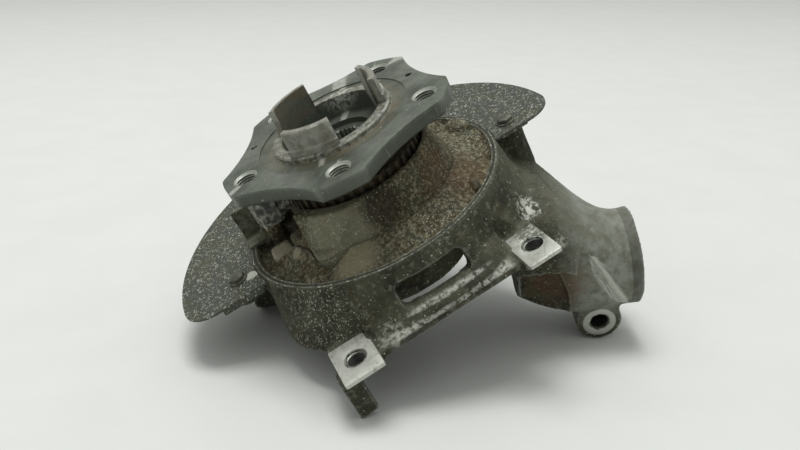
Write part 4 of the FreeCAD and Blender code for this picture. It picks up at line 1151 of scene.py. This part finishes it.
class HUB_OT_threads(bpy.types.Operator):
    """Cut the threads of the five wheel bolt holes and the two caliper sleeves"""

    bl_idname = "hub_dressing.threads"
    bl_label = "Threads"

    def execute(self, context):
        values = sizes()
        turns = int(FLANGE_T * MM / values.wheel_pitch)
        ridges = []
        for hole in range(WHEEL_HOLES):
            angle = math.radians(WHEEL_FIRST_ANGLE + hole * 360 / WHEEL_HOLES)
            at = (WHEEL_PCD / 2 * math.cos(angle), WHEEL_PCD / 2 * math.sin(angle))
            ridges.append(
                helix(at, WHEEL_THREAD_R, WHEEL_THREAD_LIFT - FLANGE_T, turns, values.wheel_pitch,
                      values.thread_height))
        wheel = join_pieces("wheel_hole_threads", ridges)
        smooth_shade(wheel, 40)
        dress(wheel, hub_finish(), HUB_BODY)
        bright = sleeve_finish()
        ridges = [
            helix((CALIPER_X, y), SLEEVE_BORE_R, PAD_Z - SLEEVE_THREAD_DEPTH, SLEEVE_THREAD_TURNS,
                  values.caliper_pitch, values.thread_height)
            for y in CALIPER_Y]
        sleeves = join_pieces("caliper_hole_threads", ridges)
        smooth_shade(sleeves, 40)
        dress(sleeves, bright, CASTING_BODY)
        paint_node(["caliper_sleeve_lower", "caliper_sleeve_upper"], bright)
        return {"FINISHED"}


class HUB_OT_pads(bpy.types.Operator):
    """Face the two caliper pads with flat milled metal round their threaded holes"""

    bl_idname = "hub_dressing.pads"
    bl_label = "Milled caliper pads"

    def execute(self, context):
        material = milled_finish()
        top = PAD_Z + sizes().pad_proud / MM
        names = ("pad_face_lower", "pad_face_upper")
        for name, side, hole_y in zip(names, (PAD_LOWER_Y, PAD_UPPER_Y), CALIPER_Y):
            obj = block(name, (PAD_X[0], side[0], PAD_Z - PAD_DEPTH), (PAD_X[1], side[1], top))
            round_upright_edges(obj, PAD_CORNER)
            drill(obj, (CALIPER_X, hole_y), SLEEVE_R)
            round_edges(obj, PAD_EDGE * MM, 2, 50)
            smooth_shade(obj, 30)
            dress(obj, material, CASTING_BODY)
        return {"FINISHED"}


class HUB_OT_shield(bpy.types.Operator):
    """Shape the dust shield close round the rim, with its three bolts"""

    bl_idname = "hub_dressing.shield"
    bl_label = "Dust shield"

    def execute(self, context):
        colours = finish_colours()
        shield = node_copy("dust_shield", "shield_sheet")
        shrink = SHIELD_SNUG_R / SHIELD_BORE_R
        inner = (SHIELD_BORE_R + SHIELD_EDGE_REACH) * MM
        edit_where(shield, "VERT", lambda vertex: vertex.co.xy.length < inner)
        bpy.ops.transform.resize(value=(shrink, shrink, 1), center_override=(0, 0, 0))
        leave_edit()
        lip = (SHIELD_TOP_Z - SHIELD_LIP_BELOW) * MM
        edit_where(shield, "VERT", lambda vertex: vertex.co.z < lip and vertex.co.y > 0)
        bpy.ops.transform.translate(value=(0, 0, SHIELD_LIP_LIFT * MM))
        leave_edit()
        smooth_shade(shield, 35)
        dress(shield, shield_finish(), CASTING_BODY, "dust_shield")
        steel = plain_metal_finish(
            "dull bolt steel", colours.shield_grey, colours.cast_light, colours.hub_rust, 0.3, 0.6)
        for number, at in enumerate(SHIELD_BOLTS, 1):
            bolt = hex_bolt("shield_bolt_%d" % number, at, SHIELD_TOP_Z, SHIELD_BOLT_R, SHIELD_BOLT_H)
            dress(bolt, steel, CASTING_BODY, "shield_screw_%d" % number)
        return {"FINISHED"}


class HUB_OT_small_parts(bpy.types.Operator):
    """Finish the sensor, the seals, the bearing's parts and the fasteners"""

    bl_idname = "hub_dressing.small_parts"
    bl_label = "Sensor, seals and fasteners"

    def execute(self, context):
        tint = finish_colours()
        metals = (
            (("bearing_bolt_1", "bearing_bolt_2", "bearing_bolt_3", "sensor_bolt"),
             "rusty bolt steel", tint.hub_dark, tint.hub_grey, tint.hub_rust, 0.6, 0.5),
            (("bearing_inner_ring", "outboard_balls", "inboard_balls"),
             "ground bearing steel", tint.bare_metal, tint.hub_grey, tint.hub_dark, 0.9, 0.25),
            # Tone ring: rusty, and darkened further as painted shade under the hub flange
            (("tone_ring",),
             "rusty tone ring steel", tint.mud_dark, tint.dish_brown, tint.painted_shade_dark, 0.2, 0.75),
            (("sensor_bracket",),
             "zinc bracket sheet", tint.cast_mid, tint.cast_light, tint.dish_brown, 0.3, 0.6),
        )
        for nodes, *settings in metals:
            paint_node(nodes, plain_metal_finish(*settings))
        mouldings = (
            (("speed_sensor",), "sensor plastic", tint.sensor_black, tint.cast_fleck, 0.5),
            (("outboard_seal", "inboard_seal"), "seal rubber", tint.sensor_black, tint.dish_brown, 0.6),
            (("outboard_cage", "inboard_cage"), "cage plastic", tint.dish_brown, tint.hub_rust, 0.4),
        )
        for nodes, *settings in mouldings:
            paint_node(nodes, moulded_finish(*settings))
        return {"FINISHED"}


class HUB_OT_studio(bpy.types.Operator):
    """Set the floor, the soft lamps and the camera"""

    bl_idname = "hub_dressing.studio"
    bl_label = "Studio"

    def execute(self, context):
        studio = context.scene.hub_studio
        up = Vector(FLOOR_UP).normalized()
        ahead = Vector(CAMERA_AHEAD)
        ahead = (ahead - up * ahead.dot(up)).normalized()
        right = ahead.cross(up)
        turn = Matrix((right, ahead, up)).transposed()

        deselect()
        bpy.ops.mesh.primitive_plane_add(size=2.0 * studio.floor_half)
        floor = bpy.context.object
        floor.name = "floor"
        floor.matrix_world = Matrix.Translation(Vector(FLOOR_POINT) * MM) @ turn.to_4x4()
        apply_place(floor)
        floor.data.materials.append(floor_finish(studio))

        centre = Vector(OBJECT_MIDDLE) * MM
        add_lamp("key lamp", centre + up * 3.0 + ahead * 0.2 - right * 0.3, centre, studio.key_power, 1.3)
        add_lamp("fill lamp", centre + up * 1.4 - ahead * 2.4 - right * 1.2, centre, studio.fill_power, 1.6)
        light_room(studio, up * 0.98 + ahead * 0.18 - right * 0.08)

        lens = bpy.data.cameras.new("photo view")
        lens.lens = studio.lens
        lens.clip_start = 0.01
        camera = bpy.data.objects.new("photo view", lens)
        context.scene.collection.objects.link(camera)
        facing = Matrix((CAMERA_RIGHT, CAMERA_UP, -Vector(CAMERA_AHEAD))).transposed()
        camera.matrix_world = Matrix.Translation(Vector(CAMERA_AT) * MM) @ facing.to_4x4()
        context.scene.camera = camera
        context.scene.view_settings.view_transform = "Standard"
        return {"FINISHED"}


class VIEW3D_PT_hub(bpy.types.Panel):
    bl_label = "Wheel Hub"
    bl_idname = "VIEW3D_PT_hub_dressing"
    bl_space_type = "VIEW_3D"
    bl_region_type = "UI"
    bl_category = "Wheel Hub"

    def draw(self, context):
        layout = self.layout
        for group in (context.scene.hub_sizes, context.scene.hub_finish, context.scene.hub_studio):
            for name in group.__annotations__:
                layout.prop(group, name)
        for operator in OPERATORS:
            layout.operator(operator.bl_idname)


OPERATORS = (
    HUB_OT_studio, HUB_OT_casting, HUB_OT_rim, HUB_OT_bearing, HUB_OT_hub, HUB_OT_threads, HUB_OT_pads,
    HUB_OT_shield, HUB_OT_small_parts)
GROUPS = (HubSizes, HubFinish, HubStudio)


def register():
    for group in GROUPS + OPERATORS + (VIEW3D_PT_hub,):
        bpy.utils.register_class(group)
    bpy.types.Scene.hub_sizes = PointerProperty(type=HubSizes)
    bpy.types.Scene.hub_finish = PointerProperty(type=HubFinish)
    bpy.types.Scene.hub_studio = PointerProperty(type=HubStudio)


def unregister():
    del bpy.types.Scene.hub_studio
    del bpy.types.Scene.hub_finish
    del bpy.types.Scene.hub_sizes
    for group in (VIEW3D_PT_hub,) + OPERATORS[::-1] + GROUPS[::-1]:
        bpy.utils.unregister_class(group)


def main():
    register()
    for operator in OPERATORS:
        family, name = operator.bl_idname.split(".")
        getattr(getattr(bpy.ops, family), name)()


if __name__ == "__main__":
    main()
